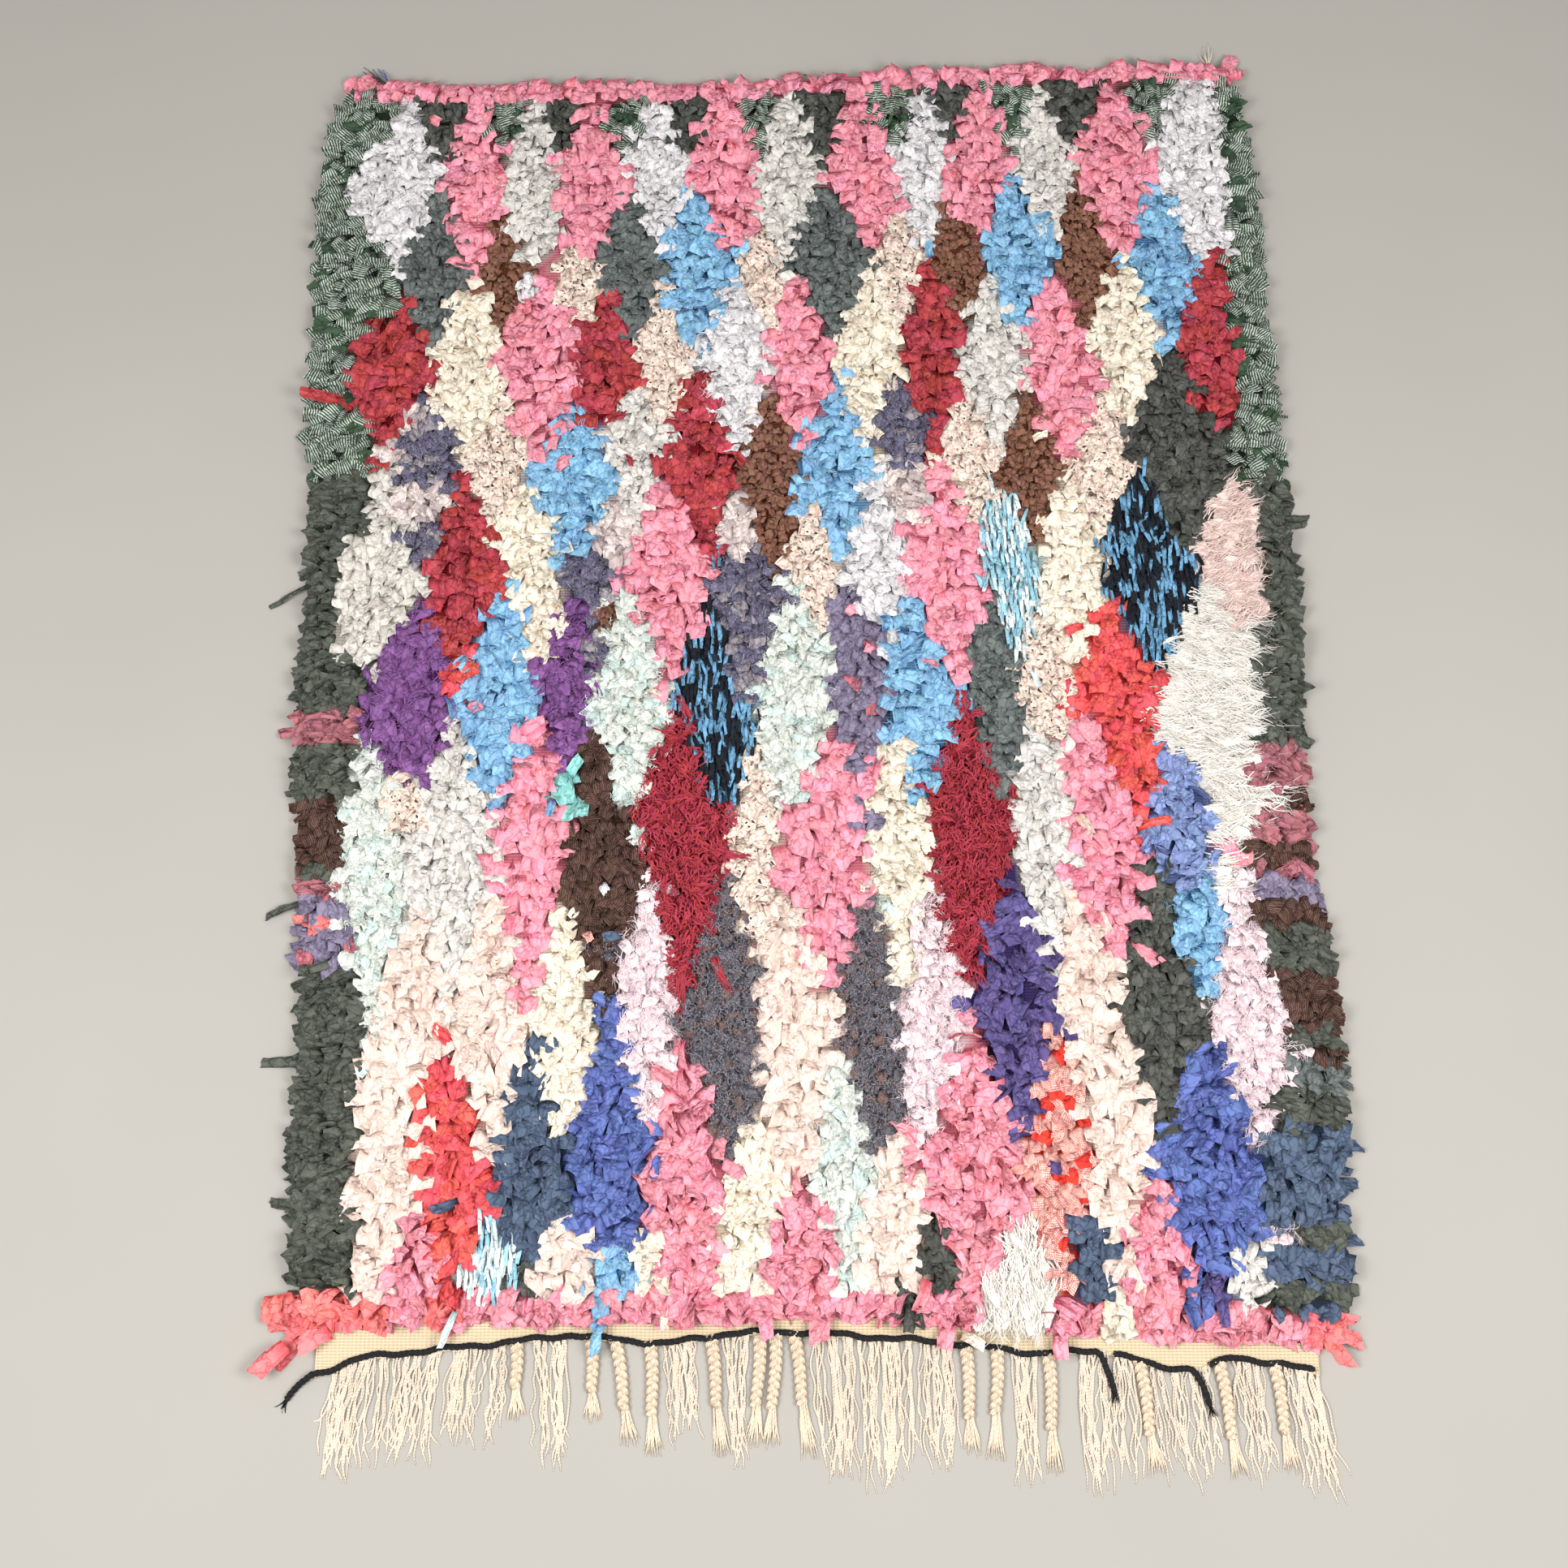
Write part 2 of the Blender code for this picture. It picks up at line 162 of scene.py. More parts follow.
RAGS: dict[Rag, RagFinish] = {
    Rag.PINK: RagFinish((252, 164, 182), (206, 90, 110), rise=1, tabs=0.22),
    Rag.ROSE_PINK: RagFinish((252, 166, 182), (190, 66, 86), Tuft.TAB, rise=1, tabs=0.6),
    Rag.CORAL: RagFinish((252, 134, 132), (204, 64, 66), Tuft.OUTWARD, tabs=0.2),
    Rag.DUSTY_ROSE: RagFinish((182, 106, 116), (84, 42, 46), Tuft.OUTWARD, tabs=0.2),
    Rag.CRIMSON: RagFinish((192, 50, 62), (92, 10, 16), tabs=0.3),
    Rag.CRIMSON_WOOL: RagFinish((182, 30, 56), (84, 4, 14), Tuft.WOOLLY, Pattern.STRANDED, variety=0.16),
    Rag.RED: RagFinish((246, 84, 84), (160, 22, 26), tabs=0.4),
    Rag.SKY: RagFinish((146, 198, 232), (60, 114, 166), tabs=0.3),
    Rag.PERIWINKLE: RagFinish((144, 164, 216), (54, 68, 122), Tuft.TAB, tabs=0.3),
    Rag.ROYAL: RagFinish((98, 118, 192), (24, 30, 82), Tuft.TAB, rise=1, tabs=0.5),
    Rag.PURPLE: RagFinish((138, 80, 152), (46, 16, 58), tabs=0.4),
    Rag.INDIGO: RagFinish((98, 82, 148), (32, 22, 62), Tuft.TAB, tabs=0.4),
    Rag.DENIM: RagFinish((122, 118, 144), (34, 34, 52), Tuft.CRUMPLE, Pattern.TWEED, (200, 188, 190), 0.22),
    Rag.VIOLET_GREY: RagFinish((146, 136, 160), (68, 60, 84), Tuft.CRUMPLE, Pattern.MIXED, (200, 116, 128), 0.06),
    Rag.NAVY: RagFinish((76, 96, 124), (20, 24, 42), tabs=0.4),
    Rag.NAVY_TWEED: RagFinish(
        (150, 148, 158), (40, 40, 50), Tuft.WOOLLY, Pattern.TWEED, (176, 128, 108), 0.16, folds=2.2
    ),
    Rag.SLATE: RagFinish((104, 112, 110), (38, 44, 42), Tuft.CRUMPLE, tabs=0.15),
    Rag.CHARCOAL: RagFinish((77, 82, 70), (26, 29, 23), Tuft.OUTWARD, tabs=0.3),
    Rag.CHARCOAL_SOFT: RagFinish((74, 76, 68), (26, 27, 23), Tuft.CRUMPLE, variety=0.22, tabs=0.12),
    Rag.GREEN_STRIPE: RagFinish((72, 94, 74), (30, 42, 32), Tuft.OUTWARD, Pattern.STRIPED, (216, 222, 212), 0.88),
    Rag.BROWN: RagFinish((134, 84, 60), (70, 36, 18), Tuft.BOBBLE, rise=-1.5, variety=0.06),
    Rag.BROWN_RIB: RagFinish((110, 73, 58), (36, 21, 16), Tuft.CRUMPLE, Pattern.RIBBED, tabs=0.3),
    Rag.IVORY: RagFinish((250, 240, 222), (218, 196, 166), Tuft.CRUMPLE, variety=0.05, tabs=0.25),
    Rag.BLUSH: RagFinish((248, 226, 214), (222, 188, 170), rise=1, variety=0.05, tabs=0.3),
    Rag.LILAC_WHITE: RagFinish((240, 236, 237), (196, 191, 194), Tuft.CRUMPLE, variety=0.05, tabs=0.2),
    Rag.LIGHT_GREY: RagFinish((232, 227, 220), (186, 180, 172), Tuft.CRUMPLE, variety=0.05),
    Rag.OFF_WHITE: RagFinish((226, 220, 211), (178, 170, 158), Tuft.CRUMPLE, variety=0.05, tabs=0.1),
    Rag.MINT_WHITE: RagFinish(
        (232, 236, 228), (192, 198, 188), Tuft.CRUMPLE, Pattern.MIXED, (214, 234, 228), 0.2, variety=0.05
    ),
    Rag.FLORAL: RagFinish(
        (248, 234, 218), (198, 172, 156), Tuft.CRUMPLE, Pattern.FLECKED, (214, 120, 122), 0.3, variety=0.06
    ),
    Rag.BLUSH_GREY: RagFinish((240, 224, 218), (164, 146, 142), Tuft.CRUMPLE, Pattern.MIXED, (204, 188, 188), 0.3),
    Rag.WHITE_SHAG: RagFinish(
        (253, 249, 242), (222, 212, 198), Tuft.COMBED, Pattern.STRANDED, variety=0.03, comb=-8
    ),
    Rag.WHITE_TASSEL: RagFinish(
        (253, 248, 240), (218, 208, 194), Tuft.COMBED, Pattern.STRANDED, variety=0.03, comb=-82
    ),
    Rag.ROSE_SHAG: RagFinish((252, 230, 222), (208, 164, 156), Tuft.COMBED, Pattern.STRANDED, variety=0.05, comb=18),
    Rag.PALE_FRAY: RagFinish((253, 234, 237), (222, 190, 198), Tuft.FRAYED, comb=-75, variety=0.05),
    Rag.AQUA: RagFinish((246, 253, 253), (150, 196, 204), Tuft.SLIVER, Pattern.MIXED, (166, 218, 236), 0.45),
    Rag.TEAL: RagFinish((160, 226, 220), (74, 152, 146), tabs=0.4),
    Rag.KNIT_RED: RagFinish(
        (238, 90, 62), (160, 36, 22), Tuft.CRUMPLE, Pattern.KNITTED, (252, 232, 224), 0.5, tabs=0.3
    ),
    Rag.BLUE_BLACK: RagFinish((122, 174, 214), (32, 34, 44), Tuft.SLIVER, Pattern.MIXED, (40, 43, 48), 0.5),
}


@dataclass(frozen=True)
class TuftForm:
    """The measures of one kind of tuft, in millimetres and degrees."""

    step_across: float
    step_along: float
    half_across: tuple[float, float]
    half_along: tuple[float, float]
    ridge: tuple[float, float]
    pleat: tuple[float, float]
    crumple: float
    tip: tuple[float, float]
    lean: tuple[float, float]
    roll: float
    turn: float
    lift: float = 0.0
    root: float = 7.0
    grid: tuple[int, int] = (5, 6)
    point: float = 0.15


FORMS: dict[Tuft, TuftForm] = {
    Tuft.PAD: TuftForm(
        16.5, 15, (10, 15.5), (10.5, 15), (-0.05, 0.26), (0.5, 3.4), 0.3, (2, 6), (13, 10), 13, 18, root=5, grid=(4, 5)
    ),
    Tuft.TAB: TuftForm(
        16, 17, (9.5, 14.5), (12, 18), (-0.1, 0.35), (0.6, 4.0), 0.35, (1, 6), (22, 15), 22, 38, root=6, grid=(4, 5)
    ),
    Tuft.CRUMPLE: TuftForm(
        11.5, 11.5, (7, 11.5), (8.5, 12), (-0.05, 0.28), (0.7, 2.4), 0.4, (1, 4), (10, 9), 12, 24, -0.5, 4, (4, 4)
    ),
    Tuft.BOBBLE: TuftForm(
        7.8, 9, (4.4, 6.2), (5.5, 7.5), (0, 0.5), (0.4, 1.4), 0.6, (1, 3), (7, 8), 12, 30, -0.5, 4, (4, 3)
    ),
    Tuft.SLIVER: TuftForm(
        4.6, 15, (1.7, 2.7), (12, 19), (-0.1, 0.2), (0, 0.4), 0.3, (0, 2), (8, 7), 20, 9, 0.5, 4, (2, 5)
    ),
    Tuft.OUTWARD: TuftForm(
        13, 14, (7, 11.5), (11, 17), (-0.1, 0.35), (0.7, 3.4), 0.35, (1, 5), (12, 13), 20, 26, root=5, grid=(4, 5)
    ),
    Tuft.COMBED: TuftForm(
        9.5, 12, (4.5, 7), (12, 19), (0, 0.3), (0.3, 1), 0.5, (1, 4), (4, 6), 9, 13, -1, 5, (3, 5), 0.8
    ),
    Tuft.WOOLLY: TuftForm(
        10, 12, (5, 8), (7, 11), (0, 0.5), (0.5, 1.8), 0.8, (1, 4), (10, 10), 16, 40, -1, 5, (4, 4), 0.5
    ),
    Tuft.FRAYED: TuftForm(
        11, 13.5, (5.5, 9), (8.5, 12), (-0.05, 0.3), (0.4, 1.8), 0.5, (1, 4), (12, 9), 14, 22, -0.5, 5, (4, 4)
    ),
}


@dataclass(frozen=True)
class FibreForm:
    """The measures of loose fibres in locks that lie over a tuft, in millimetres and degrees."""

    step: float
    count: int
    length: tuple[float, float]
    width: tuple[float, float]
    wave: float
    curl: float
    spread: float
    fan: float
    height: float
    # How much painted light the pads under the fibres keep: below 1 paints shade under the fibres.
    under: float = 1.0


FIBRES: dict[Rag, FibreForm] = {
    Rag.WHITE_SHAG: FibreForm(8.5, 5, (24, 60), (0.9, 1.8), 2.4, 1.7, 17, 11, 4),
    Rag.WHITE_TASSEL: FibreForm(8.5, 5, (22, 46), (0.9, 1.8), 2.2, 1.7, 15, 11, 4),
    Rag.ROSE_SHAG: FibreForm(8.5, 5, (18, 42), (0.8, 1.7), 2.2, 1.7, 20, 13, 4),
    Rag.CRIMSON_WOOL: FibreForm(8.5, 5, (13, 34), (1.2, 2.8), 3.0, 2.6, 52, 16, 7, 0.5),
    Rag.PALE_FRAY: FibreForm(10, 7, (10, 20), (0.4, 0.8), 0.8, 1.2, 60, 30, 3.5),
    Rag.NAVY_TWEED: FibreForm(7.5, 4, (8, 15), (0.8, 1.4), 2.4, 3.4, 120, 70, 3.5, 0.55),
    Rag.DENIM: FibreForm(10, 3, (8, 14), (0.5, 0.9), 1.4, 2.6, 80, 60, 3, 0.8),
    Rag.PURPLE: FibreForm(12, 5, (9, 20), (0.6, 1.2), 1.6, 2.0, 60, 40, 3),
    Rag.MINT_WHITE: FibreForm(11, 3, (7, 13), (0.5, 1.0), 1.2, 2.4, 90, 60, 2.5),
    Rag.SKY: FibreForm(15, 3, (8, 15), (0.5, 0.9), 0.8, 1.6, 60, 40, 2.5),
    Rag.CRIMSON: FibreForm(26, 3, (8, 14), (0.5, 0.9), 0.8, 1.6, 60, 50, 2.5),
    Rag.LILAC_WHITE: FibreForm(15, 4, (8, 15), (0.4, 0.8), 0.8, 1.4, 50, 40, 2.5),
}


@dataclass(frozen=True)
class Patch:
    """One lozenge of the chart: its cloth, middle and half sizes, in centimetres."""

    rag: Rag
    x: float
    y: float
    half_width: float
    half_length: float


def records(kind: type, *rows: tuple) -> tuple:
    """Makes one record of a kind from each row of values."""
    return tuple(kind(*row) for row in rows)


def of_cloth(kind: type, rag: Rag, *rows: tuple) -> tuple:
    """Makes one record of a kind from each row of values, all of one cloth."""
    return records(kind, *((rag, *row) for row in rows))


CHART: tuple[Patch, ...] = (
    *of_cloth(
        Patch, Rag.PINK,
        (-41.3, 70, 3.9, 12.8), (-26.8, 70.5, 4.4, 13.5), (-9.8, 71.5, 4.2, 12.8), (7.5, 71.5, 4.3, 12),
        (21.6, 73, 4.2, 13), (39, 73, 4.8, 12.8), (-32, 44, 5.3, 13.3), (-0.4, 45, 4.4, 13.2), (31.2, 45, 4.6, 14),
        (-16.2, 17, 4.9, 13.5), (16.2, 16.5, 5.2, 15), (-31, -18, 4.5, 16.5), (-31.4, -3, 2.2, 2.4),
        (2.2, -17.5, 4.9, 17), (33.4, -16, 4.6, 18), (6.9, -9, 1.6, 2.2),
    ),
    *of_cloth(
        Patch, Rag.ROSE_PINK,
        (18, -53, 5.8, 15.5), (-13, -53, 4.9, 15.5), (-0.6, -62.5, 4.2, 8.5), (37, -63.5, 3.5, 9),
        (-42.4, -65, 3.6, 7.5), (38, -57.5, 2.2, 2.4), (18, -38, 2, 1.6), (48, -18, 1.6, 1.6),
    ),
    *of_cloth(
        Patch, Rag.CRIMSON,
        (49.6, 46.5, 4.2, 13.5), (-50.3, 43.5, 5.4, 11.6), (-24, 45, 4.1, 13.3), (15.5, 45.5, 4.1, 14),
        (-12.6, 31.5, 4.6, 12.7), (-40.3, 18.5, 5.4, 11.2),
    ),
    *of_cloth(Patch, Rag.CRIMSON_WOOL, (-14, -17, 5.4, 17.2), (18.5, -16, 4.4, 17.5)),
    *of_cloth(
        Patch, Rag.RED,
        (-38.2, -53.5, 4.4, 14.6), (36.5, 3, 5.2, 12), (-41, 3.6, 1.9, 3.8), (38.3, -9, 1.8, 7),
    ),
    *of_cloth(
        Patch, Rag.SKY,
        (-13, 58.3, 4.8, 12.3), (26.5, 61, 4.6, 13), (44.3, 59, 4.4, 12.8), (-28, 30, 5, 11.2),
        (3.5, 30.5, 4.6, 13.5), (-35, 1.5, 5, 12.5), (13.2, 1, 4.3, 14), (44, -27, 3.8, 8), (-20.8, -65, 3.2, 4.2),
        (12.5, 12.5, 1.6, 3),
    ),
    *of_cloth(Patch, Rag.PERIWINKLE, (42.6, -12.5, 5, 10.5)),
    *of_cloth(Patch, Rag.ROYAL, (43.2, -54, 6, 16), (-21, -51, 4.9, 13.5), (-22, -38, 1.8, 3)),
    *of_cloth(Patch, Rag.PURPLE, (-46, 1, 5.6, 12), (-28, 2.8, 3.3, 11.2)),
    *of_cloth(Patch, Rag.INDIGO, (23, -35.5, 4.9, 17), (43.4, -66, 2.2, 3)),
    *of_cloth(
        Patch, Rag.DENIM,
        (-45.8, 32.5, 3.8, 7.5), (-45.6, 20.5, 2.7, 3.8), (-25.4, 17, 4, 3.6), (-7.4, 14, 4.9, 7),
        (11.6, 37, 4.2, 7.4), (-7.8, 4, 2.6, 6), (-24.6, 7, 1.8, 3.6),
    ),
    *of_cloth(Patch, Rag.VIOLET_GREY, (6, 1, 4.2, 11), (6.4, -13, 1.4, 3.4), (4.5, 12, 2.2, 3)),
    *of_cloth(Patch, Rag.NAVY, (-30, -52, 4.4, 14.2), (30.4, -61.5, 2.7, 5.2), (27.6, -68, 2.2, 2)),
    *of_cloth(Patch, Rag.NAVY_TWEED, (-9.2, -37.5, 5.4, 17), (7.1, -38, 4, 16.8), (-22.5, -29, 2, 1.5)),
    *of_cloth(
        Patch, Rag.SLATE,
        (-45.8, 58.5, 3.7, 12), (-21.5, 58.5, 4.6, 12.8), (3.4, 60, 5, 11.5), (22, 3, 3.4, 13),
    ),
    *of_cloth(
        Patch, Rag.CHARCOAL_SOFT,
        (-45.6, 84, 3.6, 9.5), (-31, 84, 3, 9.5), (-14.8, 84, 3, 9.5), (2.4, 84.5, 3, 9.5), (18.3, 85, 2.8, 9.5),
        (34, 85, 3.2, 9.5), (45.5, 33.5, 6.4, 14.2), (39, -36.5, 5.2, 16.6), (13.8, -63, 2.6, 5.4),
        (10.6, -67.5, 1.5, 2), (-30, -65.5, 1.5, 3),
    ),
    *of_cloth(
        Patch, Rag.GREEN_STRIPE,
        (-37.6, 84, 3, 9.5), (-23, 84, 3, 9.5), (-6, 84.5, 2.8, 9.5), (11.2, 85, 3, 9.5), (26.2, 85.5, 3, 9.5),
        (43.8, 86.5, 3.2, 8.5), (-55.5, 82, 4.5, 7),
    ),
    *of_cloth(
        Patch, Rag.BROWN,
        (-37.5, 57.5, 3.6, 10.5), (19, 60.2, 4.1, 10.2), (34.8, 60, 3.9, 12), (-4, 30, 3.7, 13.2), (27.1, 31, 4, 12),
        (-23.5, 11.6, 2, 1.4), (27.8, 18.8, 0.9, 1.6),
    ),
    *of_cloth(Patch, Rag.BROWN_RIB, (-23, -20, 5, 12.5), (-24.2, -7.5, 2.6, 5), (-22.4, -33, 1.3, 3.4)),
    *of_cloth(
        Patch, Rag.IVORY,
        (-41, 43.5, 4.4, 12.5), (-33.4, 21, 4.4, 6.8), (-31.2, 10.6, 3.4, 10), (8, 45, 4.6, 12.2),
        (39.4, 48.5, 4.6, 11), (31.2, 17.2, 4.3, 13.2), (-6.4, -59, 3.4, 11), (10.6, -17, 4, 16),
        (-26.8, -38, 3.7, 15.5), (-17, -63, 2, 2.4), (-17, -67, 2.8, 2), (33, -68.8, 1.9, 2.2), (11, -31, 2.2, 4.6),
    ),
    *of_cloth(
        Patch, Rag.BLUSH,
        (-45.6, -54.5, 4.6, 16.5), (-43, -32, 3.8, 9), (-35, -38.5, 4.6, 16.5), (-1.4, -38.5, 5, 15.5),
        (31.2, -32, 3.9, 12), (33.4, -47.5, 4.4, 17), (-26, -64.5, 3.7, 5.4), (9.2, -60.5, 3.9, 10),
    ),
    *of_cloth(
        Patch, Rag.LILAC_WHITE,
        (-51, 70, 5.4, 13.4), (-18.5, 71.5, 4, 12.5), (-8.6, 45.5, 4.6, 13.6), (14.8, 73, 4, 13),
        (48.8, 73, 5.4, 12), (9, 19.5, 3.5, 11.2), (-34.4, 56, 1, 3),
    ),
    *of_cloth(
        Patch, Rag.LIGHT_GREY,
        (-34.3, 70.5, 4.2, 12.8), (-2.8, 70.5, 4.2, 12), (30, 72.5, 4.2, 10.8), (23.3, 45, 4.8, 13.2),
        (-20.6, 34.5, 4.3, 10.8), (-40, -18.5, 5.5, 16.5), (26.9, -15.5, 3.4, 15), (47.6, -65, 3, 4.6),
        (27.8, -31, 1.4, 3.4),
    ),
    *of_cloth(Patch, Rag.OFF_WHITE, (-50.5, 15.5, 5.4, 13.8)),
    *of_cloth(
        Patch, Rag.MINT_WHITE,
        (-20.5, 1, 4.7, 14), (-0.8, 0.5, 4.3, 15), (-49.6, -21, 4.4, 16.4), (4, -54, 3.7, 15), (9, -23, 2.2, 2.4),
        (-18.4, -16.5, 1, 2.4),
    ),
    *of_cloth(
        Patch, Rag.FLORAL,
        (-28, 56, 3, 6.5), (-5.5, 57.5, 2.7, 8), (11.7, 59, 2.7, 9), (-17.6, 45.5, 3.5, 10.5), (-36.8, 31.5, 4.4, 9),
        (19.6, 33.5, 3.9, 9), (35.6, 31, 4.2, 8.4), (1.4, 19, 2.8, 9.2), (27.6, 3.4, 3.2, 8), (-45.6, -12, 2.9, 4.4),
        (-5.6, -18, 2.9, 12),
    ),
    *of_cloth(
        Patch, Rag.BLUSH_GREY,
        (12.4, 27.5, 2.9, 5), (-22.4, 22, 2.9, 5), (-8, 22.5, 2.7, 5), (-46.2, 26.6, 4.4, 3.2),
        (-47.6, 37.5, 2.6, 2.4), (-49.3, 32.8, 1.9, 2.6), (-45, 32.2, 2.4, 1.5),
    ),
    *of_cloth(Patch, Rag.WHITE_SHAG, (47.4, -1.5, 7.2, 16.5)),
    *of_cloth(Patch, Rag.WHITE_TASSEL, (22.4, -65.5, 4.3, 6.4)),
    *of_cloth(Patch, Rag.ROSE_SHAG, (50.2, 19, 4.4, 9.6)),
    *of_cloth(
        Patch, Rag.PALE_FRAY,
        (49.4, -37, 4.9, 18.5), (-18, -35.5, 3.8, 15.5), (13.7, -37.5, 4, 15), (-17, -22, 1.9, 2.2),
    ),
    *of_cloth(Patch, Rag.AQUA, (24.4, 17.6, 4.2, 11.4), (-33.6, -64.5, 3.5, 5.8)),
    *of_cloth(Patch, Rag.TEAL, (-27, -10.5, 1.9, 4.2)),
    *of_cloth(Patch, Rag.KNIT_RED, (27.2, -53, 4, 15)),
    *of_cloth(Patch, Rag.BLUE_BLACK, (40.3, 17, 5.8, 14.4), (-10.5, 1, 4.2, 15.6)),
)


@dataclass(frozen=True)
class EdgeStretch:
    """One stretch of a side edge: the cloth from here down, and how far in it reaches, in centimetres."""

    top: float
    rag: Rag
    depth: float


LEFT_EDGE: tuple[EdgeStretch, ...] = records(
    EdgeStretch,
    (95, Rag.GREEN_STRIPE, 6.8), (76, Rag.GREEN_STRIPE, 4), (72, Rag.GREEN_STRIPE, 3.2), (66, Rag.GREEN_STRIPE, 5.4),
    (62, Rag.GREEN_STRIPE, 8), (58, Rag.GREEN_STRIPE, 9.8), (51, Rag.GREEN_STRIPE, 6.4), (48, Rag.GREEN_STRIPE, 4.8),
    (38, Rag.GREEN_STRIPE, 7.2), (29.5, Rag.CHARCOAL, 6.5), (22, Rag.CHARCOAL, 3.6), (6, Rag.CHARCOAL, 7),
    (-1, Rag.DUSTY_ROSE, 7), (-4.4, Rag.CHARCOAL, 6.5), (-11.6, Rag.BROWN_RIB, 4.6), (-19.8, Rag.CHARCOAL, 4),
    (-21, Rag.DUSTY_ROSE, 3.6), (-22.6, Rag.VIOLET_GREY, 5), (-25.4, Rag.CORAL, 3.2), (-26.5, Rag.VIOLET_GREY, 5.4),
    (-31.4, Rag.CHARCOAL, 6.6), (-43, Rag.CHARCOAL, 6.4),
)

RIGHT_EDGE: tuple[EdgeStretch, ...] = records(
    EdgeStretch,
    (95, Rag.GREEN_STRIPE, 2.4), (78, Rag.GREEN_STRIPE, 3.2), (60, Rag.GREEN_STRIPE, 4.4), (36, Rag.GREEN_STRIPE, 6),
    (29.5, Rag.CHARCOAL, 3.8), (10, Rag.CHARCOAL, 5.4), (-4.4, Rag.DUSTY_ROSE, 6.6), (-10, Rag.BROWN_RIB, 3),
    (-12.4, Rag.DUSTY_ROSE, 6.4), (-16.6, Rag.BROWN_RIB, 8), (-19.2, Rag.DUSTY_ROSE, 6.6),
    (-20.6, Rag.VIOLET_GREY, 6.8), (-23.4, Rag.BROWN_RIB, 8), (-26.2, Rag.CHARCOAL, 7), (-31.6, Rag.BROWN_RIB, 7),
    (-38, Rag.CHARCOAL, 5.6), (-40, Rag.BROWN_RIB, 3.4), (-41.6, Rag.SLATE, 5.6), (-45, Rag.CHARCOAL, 7.6),
    (-49, Rag.NAVY, 9), (-59.8, Rag.CHARCOAL, 5), (-61.6, Rag.NAVY, 9), (-65.4, Rag.CHARCOAL, 9),
    (-68.2, Rag.NAVY, 8),
)

NEAR_ROW: tuple[tuple[float, Rag], ...] = (
    (-70, Rag.CORAL), (-44, Rag.ROSE_PINK), (-40.5, Rag.CORAL), (-37, Rag.ROSE_PINK), (-23.6, Rag.SKY),
    (-21.6, Rag.ROSE_PINK), (9.6, Rag.CHARCOAL_SOFT), (12, Rag.ROSE_PINK), (18, Rag.WHITE_TASSEL),
    (25.6, Rag.ROSE_PINK), (31.4, Rag.IVORY), (34.6, Rag.ROSE_PINK), (53, Rag.CORAL), (70, Rag.CORAL),
)


@dataclass
class RugOutline:
    """The pile cloth's outline and height: the same tables as its solid, in centimetres."""

    side_y: tuple[float, ...] = (-72, -60, -50, -40, -30, -20, -10, 0, 12, 25, 38, 50, 62, 72, 80, 89)
    left: tuple[float, ...] = (
        -54.5, -54.6, -55.6, -55.4, -56.2, -56.8, -58.0, -58.6, -58.2, -58.4, -59.8, -60.0, -60.0, -60.2, -58.8, -56.6,
    )
    right: tuple[float, ...] = (
        56.5, 57.4, 58.2, 58.6, 58.2, 56.8, 56.8, 57.0, 57.6, 57.2, 57.0, 56.2, 56.2, 56.2, 55.2, 54.6,
    )
    end_x: tuple[float, ...] = (-60, -46, -30, -14, 0, 14, 26, 36, 46, 58)
    near: tuple[float, ...] = (-69.2, -69.8, -69.4, -69.2, -68.9, -69.4, -70.3, -71.0, -71.2, -72.2)
    far: tuple[float, ...] = (86.2, 85.4, 85.2, 85.8, 86.6, 87.2, 88.5, 88.1, 88.6, 88.0)
    far_row: float = 2.6
    near_row: float = 2.6
    pile_height: float = 20.5 * MM
    roll_relief: float = 2 * MM
    roll_pitch: float = 70 * MM
    rim_drop: float = 4.5 * MM
    rim_width: float = 2.2

    def left_at(self, y: np.ndarray) -> np.ndarray:
        """The left side's place, in centimetres, at places along the rug."""
        return np.interp(y, self.side_y, self.left)

    def right_at(self, y: np.ndarray) -> np.ndarray:
        """The right side's place, in centimetres, at places along the rug."""
        return np.interp(y, self.side_y, self.right)

    def near_at(self, x: np.ndarray) -> np.ndarray:
        """The near end's place, in centimetres, at places across the rug."""
        return np.interp(x, self.end_x, self.near)

    def far_at(self, x: np.ndarray) -> np.ndarray:
        """The far end's place, in centimetres, at places across the rug."""
        return np.interp(x, self.end_x, self.far)

    def holds(self, x: np.ndarray, y: np.ndarray, margin: float) -> np.ndarray:
        """Whether places lie inside the outline.

        Args:
            x: Places across, in centimetres.
            y: Places along, in centimetres.
            margin: How far inside they must be, in centimetres.

        Returns:
            True for each place that is inside.
        """
        across = (x > self.left_at(y) + margin) & (x < self.right_at(y) - margin)
        return across & (y > self.near_at(x) + margin) & (y < self.far_at(x) - margin)

    def rise(self, x: np.ndarray, y: np.ndarray) -> np.ndarray:
        """The pile's height in metres at places in centimetres, lower towards the rim."""
        roll = self.roll_relief * np.sin(x * CM / self.roll_pitch) * np.cos(y * CM / self.roll_pitch)
        sides = np.minimum(x - self.left_at(y), self.right_at(y) - x)
        inset = np.minimum(sides, np.minimum(y - self.near_at(x), self.far_at(x) - y))
        return self.pile_height + roll - self.rim_drop * np.clip(1 - inset / self.rim_width, 0, 1)


